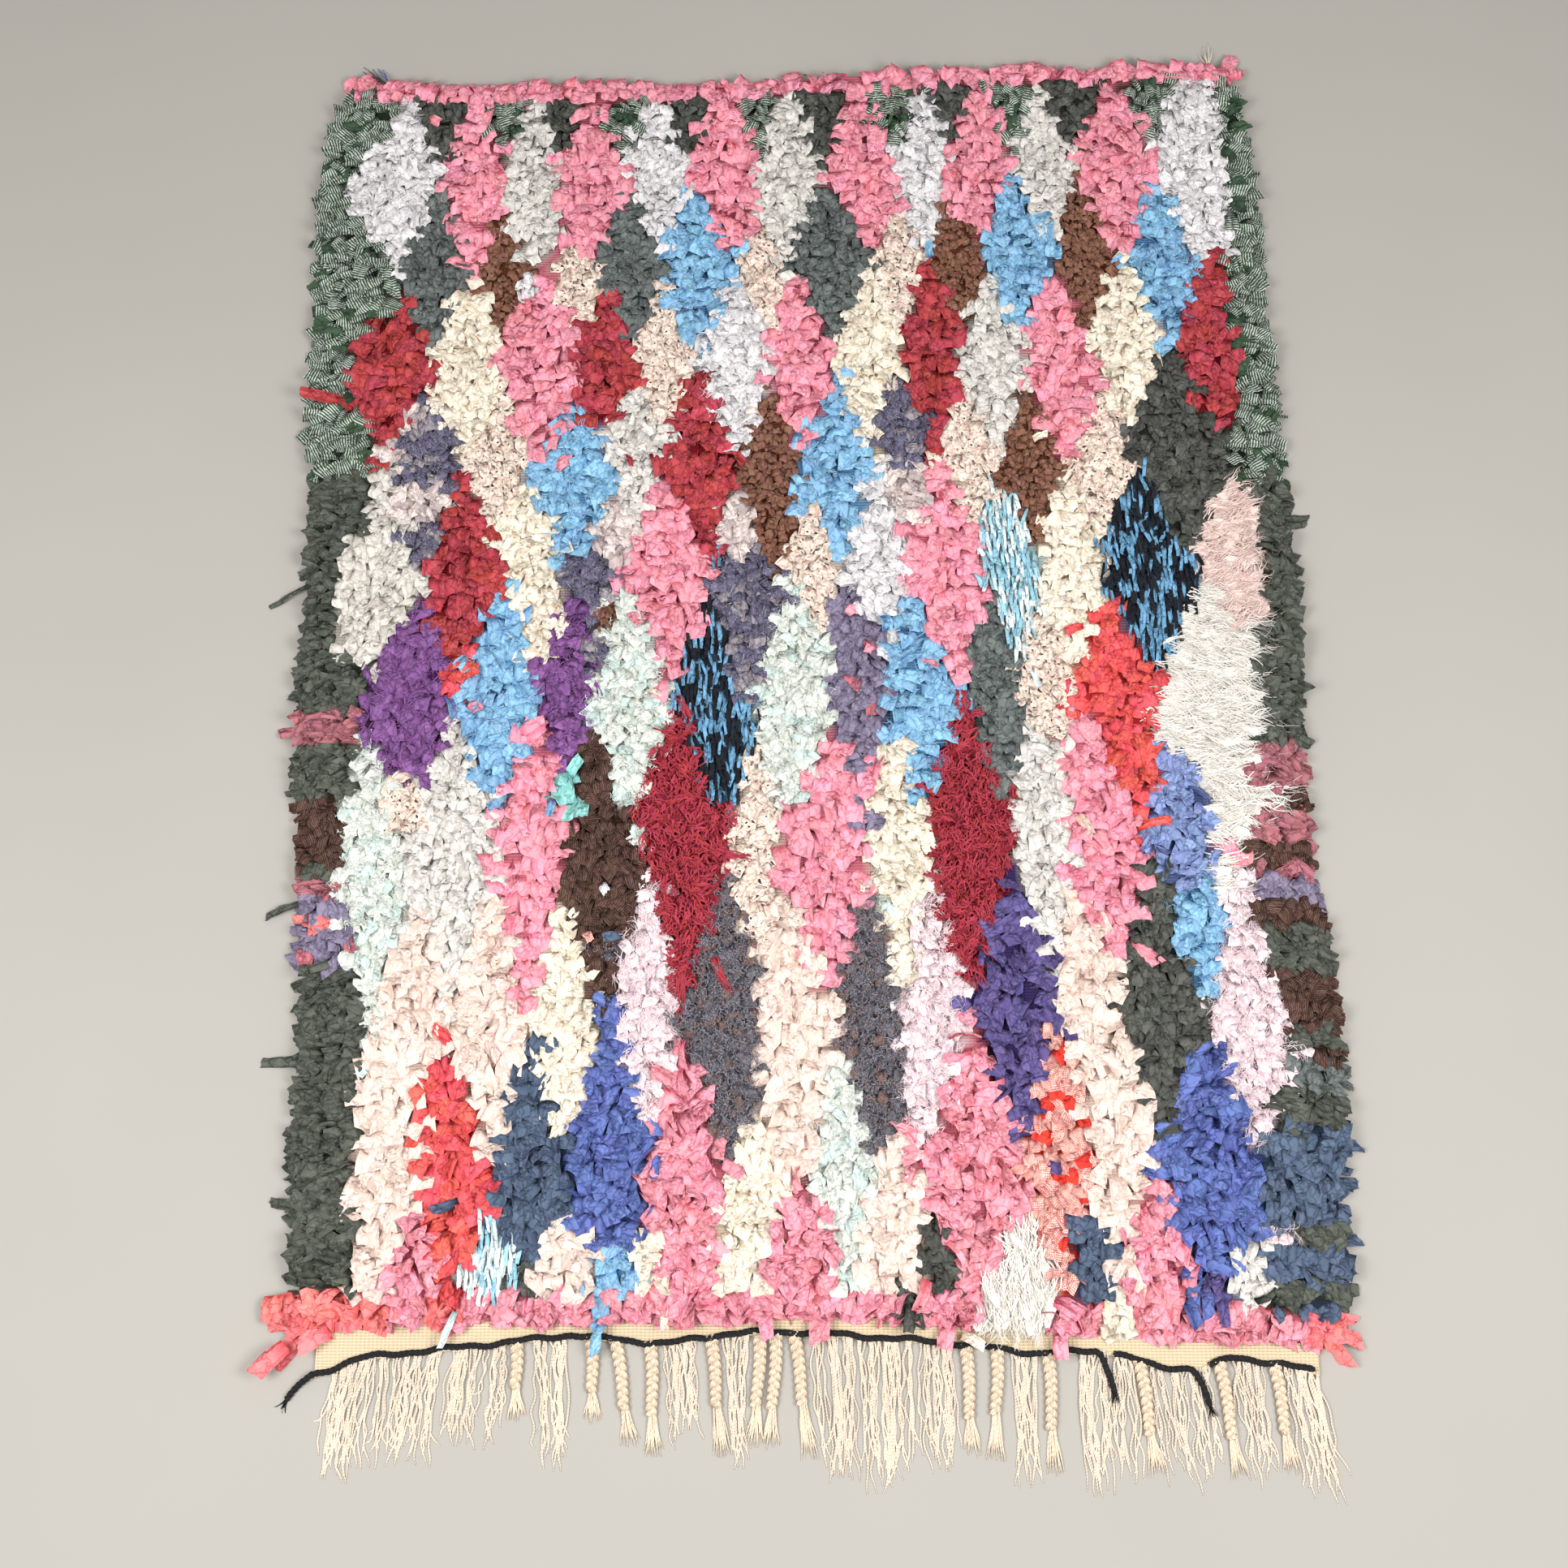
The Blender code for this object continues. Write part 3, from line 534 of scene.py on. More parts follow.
ROW_FORM = TuftForm(0, 0, (8, 13.5), (12, 18), (-0.1, 0.4), (0.8, 4.2), 0.4, (0, 5), (4, 14), 26, 26, 0, 3, (4, 5))
STANDING = TuftForm(19, 19, (7, 11), (9, 13), (0, 0.4), (0.4, 2.6), 0.35, (0, 3), (36, 14), 28, 46, 1, 4, (4, 5))
LONG_STANDING = TuftForm(20, 22, (7, 11), (12, 18), (0, 0.4), (0.3, 2.4), 0.4, (0, 3), (32, 14), 26, 55, 1, 4)
STRAY_FORM = TuftForm(0, 0, (5, 5), (5, 5), (0.1, 0.6), (0.6, 2.2), 0.4, (1, 4), (7, 7), 14, 0, 0, 6, (4, 5), 0.2)


@dataclass(frozen=True)
class Stray:
    """One end that strays over its neighbours: its cloth, middle, size in centimetres and way in degrees."""

    rag: Rag
    x: float
    y: float
    length: float
    width: float
    way: float


STRAYS: tuple[Stray, ...] = (
    *of_cloth(
        Stray, Rag.CRIMSON_WOOL,
        (-9.6, -33, 4.5, 1.1, -75), (-14, -34.5, 4.6, 1.2, -95), (-7.4, -18.6, 3.4, 1.4, -10),
        (13, -10, 4.6, 0.6, 172), (-14, 0.5, 3.6, 0.7, 100),
    ),
    *of_cloth(Stray, Rag.LILAC_WHITE, (-34.2, 56.4, 1.8, 0.9, -70), (-22.8, -22, 1.6, 1.1, -60)),
    *of_cloth(Stray, Rag.IVORY, (-17.4, 1.5, 2.2, 0.6, -20)),
    *of_cloth(Stray, Rag.BLUSH, (31.6, -14.6, 2.8, 1.1, -60), (-6.2, 38, 1.8, 1.0, 200)),
    *of_cloth(Stray, Rag.IVORY, (28.4, 34.6, 1.8, 0.9, 20)),
    *of_cloth(
        Stray, Rag.PINK,
        (18.2, 4.2, 2.2, 1.5, -80), (-17, 1.4, 2.8, 2.2, -85), (-31.4, -3.4, 3.2, 2.2, 30),
        (37.4, -29.6, 4.2, 1.7, -40), (-29, 31.2, 2.4, 1.6, 30), (6.8, -8.6, 4.4, 1.8, -88), (5, 12, 1.8, 1.2, -60),
        (7.6, 7, 1.6, 1.1, -120), (-38.4, -0.4, 1.8, 1.3, 20),
    ),
    *of_cloth(Stray, Rag.ROSE_PINK, (-47, 79.4, 2.0, 1.2, -30)),
    *of_cloth(Stray, Rag.RED, (39.4, -14.4, 4.0, 1.1, 8), (-39.8, -39.2, 3.6, 1.4, 140), (31.6, 9.6, 3.0, 1.2, 210)),
    *of_cloth(Stray, Rag.CRIMSON, (-57.6, 39.7, 7.0, 1.4, 168), (-21, 31.6, 2.6, 0.8, -80)),
    *of_cloth(Stray, Rag.TEAL, (-26.6, -8, 3.2, 1.2, 60)),
    *of_cloth(
        Stray, Rag.SKY,
        (-29, -12.6, 2.4, 0.9, -100), (-22.4, -71.4, 3.6, 1.3, -95), (44.6, -33.4, 3.0, 1.3, -70),
        (15.4, 60.5, 2.2, 1.0, 90),
    ),
    *of_cloth(Stray, Rag.ROYAL, (-22, -35.4, 3.4, 1.3, 150), (42.4, -67.8, 3.4, 1.4, -96)),
    *of_cloth(Stray, Rag.INDIGO, (43.8, -68.6, 3.6, 1.2, -84), (26.6, -53.6, 2.2, 1.3, -20)),
    *of_cloth(Stray, Rag.NAVY, (-38.8, -57.8, 3.0, 1.1, 200), (-21.6, -27.8, 2.2, 1.2, 190)),
    *of_cloth(Stray, Rag.BROWN_RIB, (-22.4, -35.6, 3.0, 0.9, -92)),
    *of_cloth(Stray, Rag.KNIT_RED, (-24.4, -27.6, 1.6, 1.1, -60)),
    *of_cloth(Stray, Rag.CHARCOAL_SOFT, (11, -69.2, 3.6, 1.4, -104)),
    *of_cloth(
        Stray, Rag.ROSE_PINK,
        (1.2, -69.4, 5.0, 2.2, -90), (-4.4, -70.2, 2.8, 1.5, -80), (14.4, -71.2, 2.8, 1.9, -100),
        (26.4, -72.2, 3.0, 1.6, -80), (-13.6, -67.6, 3.8, 2.4, -110),
    ),
    *of_cloth(Stray, Rag.IVORY, (17.4, -71.6, 2.8, 1.1, -36), (-15.2, -69.4, 2.4, 1.0, -88)),
    *of_cloth(Stray, Rag.AQUA, (-38, -70.6, 4.0, 0.7, -110), (26.6, 3.6, 3.0, 0.7, -70)),
    *of_cloth(Stray, Rag.CORAL, (-56.6, -73.6, 4.4, 1.9, 226), (-52, -71.4, 3.6, 1.9, 214)),
    *of_cloth(Stray, Rag.GREEN_STRIPE, (-58.8, 37.6, 3.6, 1.1, 170)),
    *of_cloth(Stray, Rag.PURPLE, (-43.6, -8.8, 3.0, 1.4, -84)),
)


@dataclass(frozen=True)
class LongEnd:
    """One end that reaches far out from the rim.

    Its cloth, middle, length and width are in centimetres, its way and lean in degrees, its height in millimetres.
    """

    rag: Rag
    x: float
    y: float
    length: float
    width: float
    way: float
    lean: float
    height: float


LONG_ENDS: tuple[LongEnd, ...] = records(
    LongEnd,
    (Rag.GREEN_STRIPE, -60.4, 62.5, 3.6, 1.3, 178, -14, 9), (Rag.CHARCOAL, -60.6, 14.6, 6.4, 0.7, 207, -7, 7),
    (Rag.DUSTY_ROSE, -58.8, -2.6, 4.6, 1.8, 182, -10, 12), (Rag.CHARCOAL, -58.4, -24, 5.6, 0.9, 196, -7, 8),
    (Rag.CHARCOAL, -57.4, -41.6, 5.8, 1.2, 178, -8, 9), (Rag.CHARCOAL, -56, -57.4, 4.4, 1.2, 172, -10, 9),
    (Rag.CORAL, -55.6, -69.4, 4.0, 1.9, 196, -12, 9), (Rag.CHARCOAL, 58.2, 24, 4.4, 1.6, 2, -12, 9),
    (Rag.NAVY, 58, -55, 3.8, 1.3, -4, -12, 9), (Rag.NAVY, 58, -61, 3.4, 1.6, 4, -12, 9),
    (Rag.CORAL, 57.4, -71.2, 3.2, 1.9, -14, -12, 9), (Rag.PINK, 54.8, 88.8, 3.6, 1.8, 62, -10, 10),
    (Rag.CORAL, -54.6, -72, 6.0, 2.0, 236, -8, 8), (Rag.CORAL, 56, -73, 3.6, 1.9, -66, -12, 9),
)


@dataclass(frozen=True)
class FringeGroup:
    """Warp ends that leave the band together, in centimetres: one plait, or several loose strands."""

    braided: bool
    root_from: float
    root_to: float
    tip_from: float
    tip_to: float
    tip_y: float
    strands: int


CORD_LINE: tuple[tuple[float, float], ...] = (
    (-52, -75.2), (-47.5, -73.4), (-43, -72.9), (-33, -71.9), (-25, -71.0), (-19, -71.6), (-15, -71.9), (-8, -70.8),
    (0, -70.7), (8, -71.3), (15, -71.8), (24, -72.9), (31, -72.6), (37, -74.2), (41, -74.6), (44.5, -73.4),
    (50, -73.9), (55, -75.2),
)

FRINGE: tuple[FringeGroup, ...] = records(
    FringeGroup,
    (False, -50.5, -45.5, -52.2, -46.6, -85.6, 9), (False, -45.0, -38.5, -46.4, -39.2, -83.8, 11),
    (False, -38.0, -32.0, -38.9, -32.5, -82.0, 10), (True, -31.5, -30.3, -31.2, -30.0, -79.7, 1),
    (False, -29.3, -25.6, -28.3, -25.2, -84.0, 6), (True, -24.3, -21.7, -23.6, -21.4, -79.9, 1),
    (True, -21.0, -19.8, -19.2, -18.0, -82.3, 1), (True, -17.3, -16.1, -16.7, -15.5, -83.2, 1),
    (False, -15.4, -11.6, -14.5, -11.0, -82.3, 6), (True, -10.9, -9.7, -9.5, -8.4, -83.2, 1),
    (False, -9.4, -6.2, -7.9, -6.5, -84.2, 4), (True, -5.7, -4.5, -6.1, -5.0, -82.3, 1),
    (True, -4.0, -2.8, -4.4, -3.3, -82.5, 1), (True, -2.1, -0.9, -0.4, 0.8, -83.5, 1),
    (False, 0.4, 4.9, 1.4, 4.9, -85.3, 8), (False, 5.2, 9.6, 5.6, 9.4, -86.4, 8),
    (False, 10.2, 11.0, 10.2, 11.0, -85.0, 2), (False, 11.3, 15.3, 11.8, 15.7, -84.3, 7),
    (True, 16.1, 17.3, 16.6, 17.8, -83.3, 1), (True, 19.4, 20.6, 19.0, 20.2, -83.6, 1),
    (False, 21.5, 24.4, 21.8, 24.4, -86.2, 5), (True, 24.8, 26.0, 25.1, 26.3, -85.0, 1),
    (False, 28.0, 32.0, 28.3, 32.0, -86.6, 7), (False, 32.4, 34.1, 33.0, 34.6, -85.8, 3),
    (True, 34.4, 35.6, 35.8, 37.0, -85.3, 1), (False, 36.2, 37.7, 37.4, 38.7, -86.0, 3),
    (False, 38.0, 41.0, 39.1, 41.9, -86.6, 5), (False, 41.2, 42.4, 42.5, 43.7, -84.8, 2),
    (True, 42.8, 44.0, 44.4, 45.6, -85.5, 1), (False, 44.6, 48.1, 46.3, 48.9, -86.2, 5),
    (True, 48.6, 49.8, 49.9, 51.1, -85.0, 1), (False, 50.2, 53.8, 51.9, 55.4, -87.4, 7),
)

LEFT_TAIL: tuple[tuple[float, float, float], ...] = (
    (-54.8, -77.6, 2.5), (-54.0, -76.7, 2.5), (-53.4, -76.0, 3.8), (-52.3, -75.2, 7.1),
)
MIDDLE_TAIL: tuple[tuple[float, float, float], ...] = (
    (30.9, -72.9, 6.8), (31.3, -73.7, 6.4), (31.8, -75.2, 6.0), (32.2, -76.9, 6.0),
)
RIGHT_TAIL: tuple[tuple[float, float, float], ...] = (
    (40.9, -74.9, 6.8), (41.3, -75.8, 6.4), (41.8, -77.0, 6.0), (42.2, -78.2, 6.0),
)


@dataclass(frozen=True)
class Sprig:
    """A few yarn ends at the far edge: place and length in centimetres, way and fan in degrees."""

    name: str
    x: float
    y: float
    length: float
    way: float
    fan: float
    yarns: int
    radius: float
    height: float
    # The yarns' colour where light falls, then their painted shade colour for crevices and undersides.
    lit: Tone
    shade_tone: Tone


SPRIGS: tuple[Sprig, ...] = records(
    Sprig,
    ("black_corner_yarn", -53.6, 85.6, 4.8, 134, 9, 9, 1.0, 12, (52, 52, 58), (12, 12, 14)),
    ("blue_corner_yarn", -53.4, 86.2, 3.2, 112, 10, 3, 1.0, 12, (92, 104, 178), (30, 34, 70)),
    ("ecru_corner_yarn", 52, 87.4, 5.4, 92, 8, 9, 1.1, 12, (252, 242, 222), (190, 166, 132)),
    ("navy_corner_thread", 52.2, 88.4, 1.4, 70, 30, 3, 0.7, 12, (62, 66, 110), (24, 26, 48)),
    ("ecru_far_thread", -30.5, 85, 2.6, 96, 26, 4, 0.7, 13, (252, 242, 222), (190, 166, 132)),
    ("blue_far_thread", 14, 86.8, 2.4, 88, 30, 5, 0.7, 13, (92, 112, 190), (30, 36, 80)),
)


@dataclass
class LozengeChart:
    """Which cloth is knotted where."""

    outline: RugOutline
    kinds: list[Rag] = field(default_factory=lambda: list(Rag))
    nowhere: float = 9.0
    guarded: float = 0.75

    def number(self, rag: Rag) -> int:
        """A cloth's number in the list of kinds."""
        return self.kinds.index(rag)

    def stretch_at(self, y: np.ndarray, stretches: tuple[EdgeStretch, ...]) -> tuple[np.ndarray, np.ndarray]:
        """Finds the stretch of a side edge at places along the rug.

        Args:
            y: The places, in centimetres.
            stretches: The edge's stretches, from the far end to the near one.

        Returns:
            The cloth's number and the stretch's depth at each place.
        """
        tops = np.array([stretch.top for stretch in stretches])
        index = np.clip((tops[None, :] >= y[:, None]).sum(axis=1) - 1, 0, len(stretches) - 1)
        rags = np.array([self.number(stretch.rag) for stretch in stretches])
        depths = np.array([stretch.depth for stretch in stretches])
        return rags[index], depths[index]

    def rag_at(self, x: np.ndarray, y: np.ndarray) -> np.ndarray:
        """Finds the cloth at each place.

        Args:
            x: Places across, in centimetres.
            y: Places along, in centimetres.

        Returns:
            For each place, its cloth's number in the list of kinds.
        """
        nearness = np.full(len(x), self.nowhere)
        found = np.zeros(len(x), int)
        # Waves of half a centimetre make the lozenges' rims ragged.
        drawn_x = x + 0.5 * np.sin(1.9 * y + 0.7 * x) + 0.4 * np.sin(4.3 * y - 1.1 * x)
        drawn_y = y + 0.6 * np.sin(1.7 * x + 0.4 * y)
        for patch in CHART:
            away = np.abs(drawn_x - patch.x) / patch.half_width + np.abs(drawn_y - patch.y) / patch.half_length
            closer = away < nearness
            nearness[closer] = away[closer]
            found[closer] = self.number(patch.rag)
        return self.with_edges(x, y, found, nearness)

    def with_edges(self, x: np.ndarray, y: np.ndarray, inner: np.ndarray, nearness: np.ndarray) -> np.ndarray:
        """Puts the rug's edge cloths over the lozenges.

        Args:
            x: Places across, in centimetres.
            y: Places along, in centimetres.
            inner: The numbers of the lozenges' cloths there.
            nearness: How far off the nearest lozenge's middle is, from 0 there to 1 at its rim.

        Returns:
            The numbers of the cloths that show.
        """
        found = inner.copy()
        for stretches, inset in (
            (LEFT_EDGE, x - self.outline.left_at(y)),
            (RIGHT_EDGE, self.outline.right_at(y) - x),
        ):
            rags, depths = self.stretch_at(y, stretches)
            edge = (inset < depths) & (nearness > self.guarded)
            found[edge] = rags[edge]
        starts = np.array([start for start, _ in NEAR_ROW])
        rags = np.array([self.number(rag) for _, rag in NEAR_ROW])
        near = y < self.outline.near_at(x) + self.outline.near_row
        index = np.clip(np.searchsorted(starts, x, side="right") - 1, 0, len(starts) - 1)
        found[near] = rags[index][near]
        far = y > self.outline.far_at(x) - self.outline.far_row
        found[far] = self.number(Rag.PINK)
        return found


class NodeKit:
    """Adds nodes to a material and joins them."""

    def __init__(self, name: str) -> None:
        """Starts a material.

        Args:
            name: The material's name.
        """
        self.material = bpy.data.materials.new(name)
        self.material.use_nodes = True
        self.tree = self.material.node_tree
        self.shader = self.tree.nodes["Principled BSDF"]

    def put(self, socket: bpy.types.NodeSocket, value: object) -> None:
        """Links a socket, or sets its number, its vector or its colour."""
        if isinstance(value, bpy.types.NodeSocket):
            self.tree.links.new(value, socket)
        else:
            socket.default_value = (*linear(value), 1) if socket.type == "RGBA" else value

    def node(self, kind: str, inputs: dict[str | int, object], **settings: str) -> bpy.types.Node:
        """Adds a node.

        Args:
            kind: Its type, without the words ShaderNode.
            inputs: What each input is linked to or set to.
            settings: Its other settings.

        Returns:
            The node.
        """
        node = self.tree.nodes.new("ShaderNode" + kind)
        for name, setting in settings.items():
            setattr(node, name, setting)
        for key, value in inputs.items():
            self.put(node.inputs[key], value)
        return node

    def math(self, operation: str, first: object, second: object = 0.0) -> bpy.types.NodeSocket:
        """Adds a Math node and returns its output."""
        return self.node("Math", {0: first, 1: second}, operation=operation).outputs[0]

    def scaled(self, value: object, times: float, plus: float = 0.0) -> bpy.types.NodeSocket:
        """Multiplies a value and adds to it."""
        return self.math("ADD", self.math("MULTIPLY", value, times), plus)

    def over(self, value: object, limit: float) -> bpy.types.NodeSocket:
        """Gives 1 where a value is over a limit, and 0 elsewhere."""
        return self.math("GREATER_THAN", value, limit)

    def blend(self, part: object, low: object, high: object) -> bpy.types.NodeSocket:
        """Adds a colour mix and returns its output."""
        return self.node("Mix", {0: part, 6: low, 7: high}, data_type="RGBA").outputs[2]

    def noise(self, where: object, scale: float, detail: float = 2.0) -> bpy.types.NodeSocket:
        """Adds a noise texture and returns its value."""
        return self.node("TexNoise", {"Vector": where, "Scale": scale, "Detail": detail}).outputs["Fac"]

    def wave(self, where: object, along: str, scale: float, distortion: float = 0.0) -> bpy.types.NodeSocket:
        """Adds parallel waves and returns their value."""
        inputs = {"Vector": where, "Scale": scale, "Distortion": distortion}
        return self.node("TexWave", inputs, bands_direction=along).outputs["Fac"]

    def edges(self, where: object, scale: float) -> bpy.types.NodeSocket:
        """Adds a cell texture and returns the distance to its edges."""
        inputs = {"Vector": where, "Scale": scale}
        return self.node("TexVoronoi", inputs, feature="DISTANCE_TO_EDGE").outputs["Distance"]

    def facets(self, where: object, scale: float) -> Sockets:
        """Adds flat facets, each with its own tilt.

        Args:
            where: The place on the cloth.
            scale: How many facets fit in a centimetre.

        Returns:
            The height within each facet, and a chance value of its own.
        """
        cell = self.node("TexVoronoi", {"Vector": where, "Scale": scale})
        away = self.node("VectorMath", {0: where, 1: cell.outputs["Position"]}, operation="SUBTRACT")
        slope = self.node("VectorMath", {0: cell.outputs["Color"], 1: (0.5, 0.5, 0.5)}, operation="SUBTRACT")
        along = self.node("VectorMath", {0: away.outputs[0], 1: slope.outputs[0]}, operation="DOT_PRODUCT")
        return along.outputs["Value"], self.split(cell.outputs["Color"])[2]

    def stretched(self, where: object, across: float, along: float, bend: float) -> bpy.types.NodeSocket:
        """Stretches places on the cloth and bends them a little."""
        long = self.node("Mapping", {"Vector": where, "Scale": (across, along, 1)})
        sway = self.scaled(self.noise(where, 1.3, 1), bend)
        return self.node("VectorMath", {0: long.outputs[0], 1: sway}, operation="ADD").outputs[0]

    def split(self, colour: object) -> Sockets:
        """Parts a colour into its three values."""
        return tuple(self.node("SeparateColor", {0: colour}).outputs)

    def place(self) -> bpy.types.NodeSocket:
        """Reads the place on the cloth, in centimetres."""
        return self.node("UVMap", {}).outputs["UV"]

    def spot(self) -> bpy.types.NodeSocket:
        """Reads the place in the rug, in metres."""
        return self.node("TexCoord", {}).outputs["Object"]

    def tint(self) -> bpy.types.NodeSocket:
        """Reads the colour that a piece carries: a tint, or a strip's two chance values and its painted light, which
        is low where shade is painted.
        """
        return self.node("Attribute", {}, attribute_name="tuft").outputs["Color"]

    def tone(self, colour: object, hue: object, value: object) -> bpy.types.NodeSocket:
        """Shifts a colour's hue and brightness."""
        return self.node("HueSaturation", {"Hue": hue, "Value": value, "Color": colour}).outputs[0]

    def bump(self, height: object, strength: float, distance: float) -> bpy.types.NodeSocket:
        """Adds a bump from a height."""
        return self.node("Bump", {"Strength": strength, "Distance": distance, "Height": height}).outputs[0]

    def finish(self, colour: object, roughness: object, normal: object, sheen: float = 0.0) -> bpy.types.Material:
        """Joins the shader's inputs and returns the material."""
        for name, value in (("Base Color", colour), ("Roughness", roughness), ("Normal", normal)):
            self.put(self.shader.inputs[name], value)
        self.shader.inputs["Sheen Weight"].default_value = sheen
        self.shader.inputs["Sheen Roughness"].default_value = 0.5
        self.shader.inputs["Specular IOR Level"].default_value = 0.05
        return self.material

    def woven(self, weave: object, roughness: float, relief: float) -> bpy.types.Material:
        """Makes a flat weave in the colours that the piece carries.

        Args:
            weave: The weave's height, from 0 to 1.
            roughness: How rough its low places are.
            relief: How high the weave stands, in metres.

        Returns:
            The material.
        """
        colour = self.tone(self.tint(), 0.5, self.scaled(weave, 0.5, 0.7))
        return self.finish(colour, self.scaled(weave, 0.1, roughness), self.bump(weave, 1.0, relief))


@dataclass(frozen=True)
class ClothNodes:
    """Builds the node material of one cloth."""

    finish: RagFinish
    fleck: Tone = (62, 52, 50)

    def build(self, name: str) -> bpy.types.Material:
        """Makes the material: colour with pattern, painted shade in creases and fold lines and painted facet light,
        weave and wrinkles.
        """
        kit = NodeKit(name)
        chance, cast, painted_light_part = kit.split(kit.tint())
        place = kit.place()
        worn = kit.noise(place, 1.5, 3)
        cloth = self.pattern(kit, place, chance)
        if self.finish.pattern is Pattern.STRANDED:
            # Painted shade: dark lines between the strands.
            line = kit.scaled(kit.wave(place, "X", 2.4, 1.5), 0.3, 0.7)
            facet, height = worn, kit.scaled(line, 1.1)
        else:
            folded = kit.stretched(place, 1, 0.6, 1.2)
            edge = kit.edges(folded, self.finish.folds)
            # Painted shade: dark lines along the fold edges, and between the ribs on ribbed cloth.
            line = kit.scaled(kit.math("MINIMUM", kit.math("MULTIPLY", edge, 10), 1), 0.5, 0.5)
            if self.finish.pattern is Pattern.RIBBED:
                line = kit.math("MULTIPLY", line, kit.scaled(kit.wave(place, "X", 1.25), 0.6, 0.4))
            tilt, facet = kit.facets(folded, self.finish.folds)
            fine, _ = kit.facets(folded, 2.6 * self.finish.folds)
            tilts = kit.math("ADD", kit.scaled(tilt, 12), kit.scaled(fine, 3))
            height = kit.math("ADD", self.relief(kit, place), tilts)
        # Painted light: the piece's own share, times the dark lines, shifted in patches by the noise; where it is low,
        # the colour is blended towards the painted shade tone.
        painted_light = kit.math("ADD", kit.math("MULTIPLY", painted_light_part, line), kit.scaled(worn, 0.5, -0.2))
        with_painted_shade = kit.blend(painted_light, self.finish.shade_tone, cloth)
        shade = kit.scaled(cast, 2 * self.finish.variety, 1 - self.finish.variety)
        # Tone at random for each tuft, times a brightness for each flat facet: painted light, as if each facet met the
        # light at its own tilt; on stranded cloth the noise gives random tone instead.
        random_tone_and_facet_light = kit.math("MULTIPLY", shade, kit.scaled(facet, 0.2, 0.9))
        colour = kit.tone(with_painted_shade, kit.scaled(chance, 0.016, 0.492), random_tone_and_facet_light)
        return kit.finish(colour, kit.scaled(worn, 0.2, 0.75), kit.bump(height, 0.9, 1.0 * MM))

    def pattern(self, kit: NodeKit, place: object, chance: object) -> bpy.types.NodeSocket:
        """Lays the cloth's second colour over its first, in its own pattern."""
        print_on = kit.blend(self.printed(kit, place, chance), self.finish.lit, self.finish.second)
        if self.finish.pattern is Pattern.FLECKED:
            return kit.blend(kit.over(kit.noise(place, 1.7, 0), 0.7), print_on, self.fleck)
        return print_on

    def printed(self, kit: NodeKit, place: object, chance: object) -> bpy.types.NodeSocket:
        """How much of the second colour shows, from 0 to 1."""
        kind = self.finish.pattern
        by_tuft = kit.over(chance, 1 - self.finish.share)
        if kind is Pattern.MIXED:
            return by_tuft
        if kind is Pattern.FLECKED:
            return kit.math("MULTIPLY", kit.over(kit.noise(place, 2.6, 1), 0.6), 0.6)
        if kind is Pattern.STRIPED:
            return kit.math("MULTIPLY", kit.over(kit.wave(place, "Y", 1.0, 0.15), 0.66), by_tuft)
        if kind is Pattern.KNITTED:
            net = kit.math("MAXIMUM", kit.wave(place, "X", 1.7, 0.6), kit.wave(place, "Y", 1.5, 0.6))
            return kit.math("MULTIPLY", kit.over(net, 0.72), kit.over(chance, 0.12))
        if kind is Pattern.TWEED:
            flecks = kit.math("MULTIPLY", kit.over(kit.noise(place, 5.5, 2), 0.6), 0.6)
            return kit.math("MAXIMUM", flecks, kit.math("MULTIPLY", by_tuft, 0.7))
        return kit.scaled(kit.noise(place, 0.9, 2), 0.1)

    def relief(self, kit: NodeKit, place: object) -> bpy.types.NodeSocket:
        """The weave, or the ribs, and the fine wrinkles as heights."""
        wrinkles = kit.scaled(kit.noise(place, 2.6, 2), 0.6)
        if self.finish.pattern is Pattern.RIBBED:
            fine = kit.scaled(kit.wave(place, "X", 1.25), 1.3)
        else:
            weave = kit.math("ADD", kit.wave(place, "X", 4.2), kit.wave(place, "Y", 4.2))
            fine = kit.scaled(weave, 0.1)
        return kit.math("ADD", fine, wrinkles)


@dataclass(frozen=True)
class YarnNodes:
    """Builds the node material of a plied yarn."""

    # The yarn's colour where light falls, then its painted shade colour.
    lit: Tone
    shade_tone: Tone
    turns: float = 3.0
    sheen: float = 0.2
    plies: int = 2

    def build(self, name: str) -> bpy.types.Material:
        """Makes the material: a pale or dark yarn with its plies wound round it, and painted shade in the grooves
        between plies and where its painted light is low.
        """
        kit = NodeKit(name)
        chance, cast, painted_light_part = kit.split(kit.tint())
        round_at, along_at, _ = kit.node("SeparateXYZ", {0: kit.place()}).outputs
        round_part = kit.scaled(round_at, self.plies * math.tau)
        start = kit.scaled(chance, 7 * math.tau)
        along_part = kit.math("ADD", kit.scaled(along_at, self.turns * math.tau), start)
        turn = kit.math("ADD", round_part, along_part)
        plies = kit.scaled(kit.math("SINE", turn), 0.5, 0.5)
        fuzz = kit.noise(kit.spot(), 900, 3)
        stain = kit.noise(kit.spot(), 14, 3)
        # Painted shade: darker in the grooves between the plies, times the painted light that the piece carries.
        shade = kit.math("MULTIPLY", kit.scaled(kit.math("POWER", plies, 0.5), 0.4, 0.6), painted_light_part)
        colour = kit.blend(kit.math("ADD", shade, kit.scaled(fuzz, 0.5, -0.2)), self.shade_tone, self.lit)
        value = kit.math("MULTIPLY", kit.scaled(cast, 0.14, 0.93), kit.scaled(stain, 0.2, 0.9))
        colour = kit.tone(colour, kit.scaled(chance, 0.012, 0.494), value)
        height = kit.math("ADD", plies, kit.scaled(fuzz, 0.6))
        return kit.finish(colour, kit.scaled(fuzz, 0.2, 0.75), kit.bump(height, 0.8, 0.5 * MM), self.sheen)


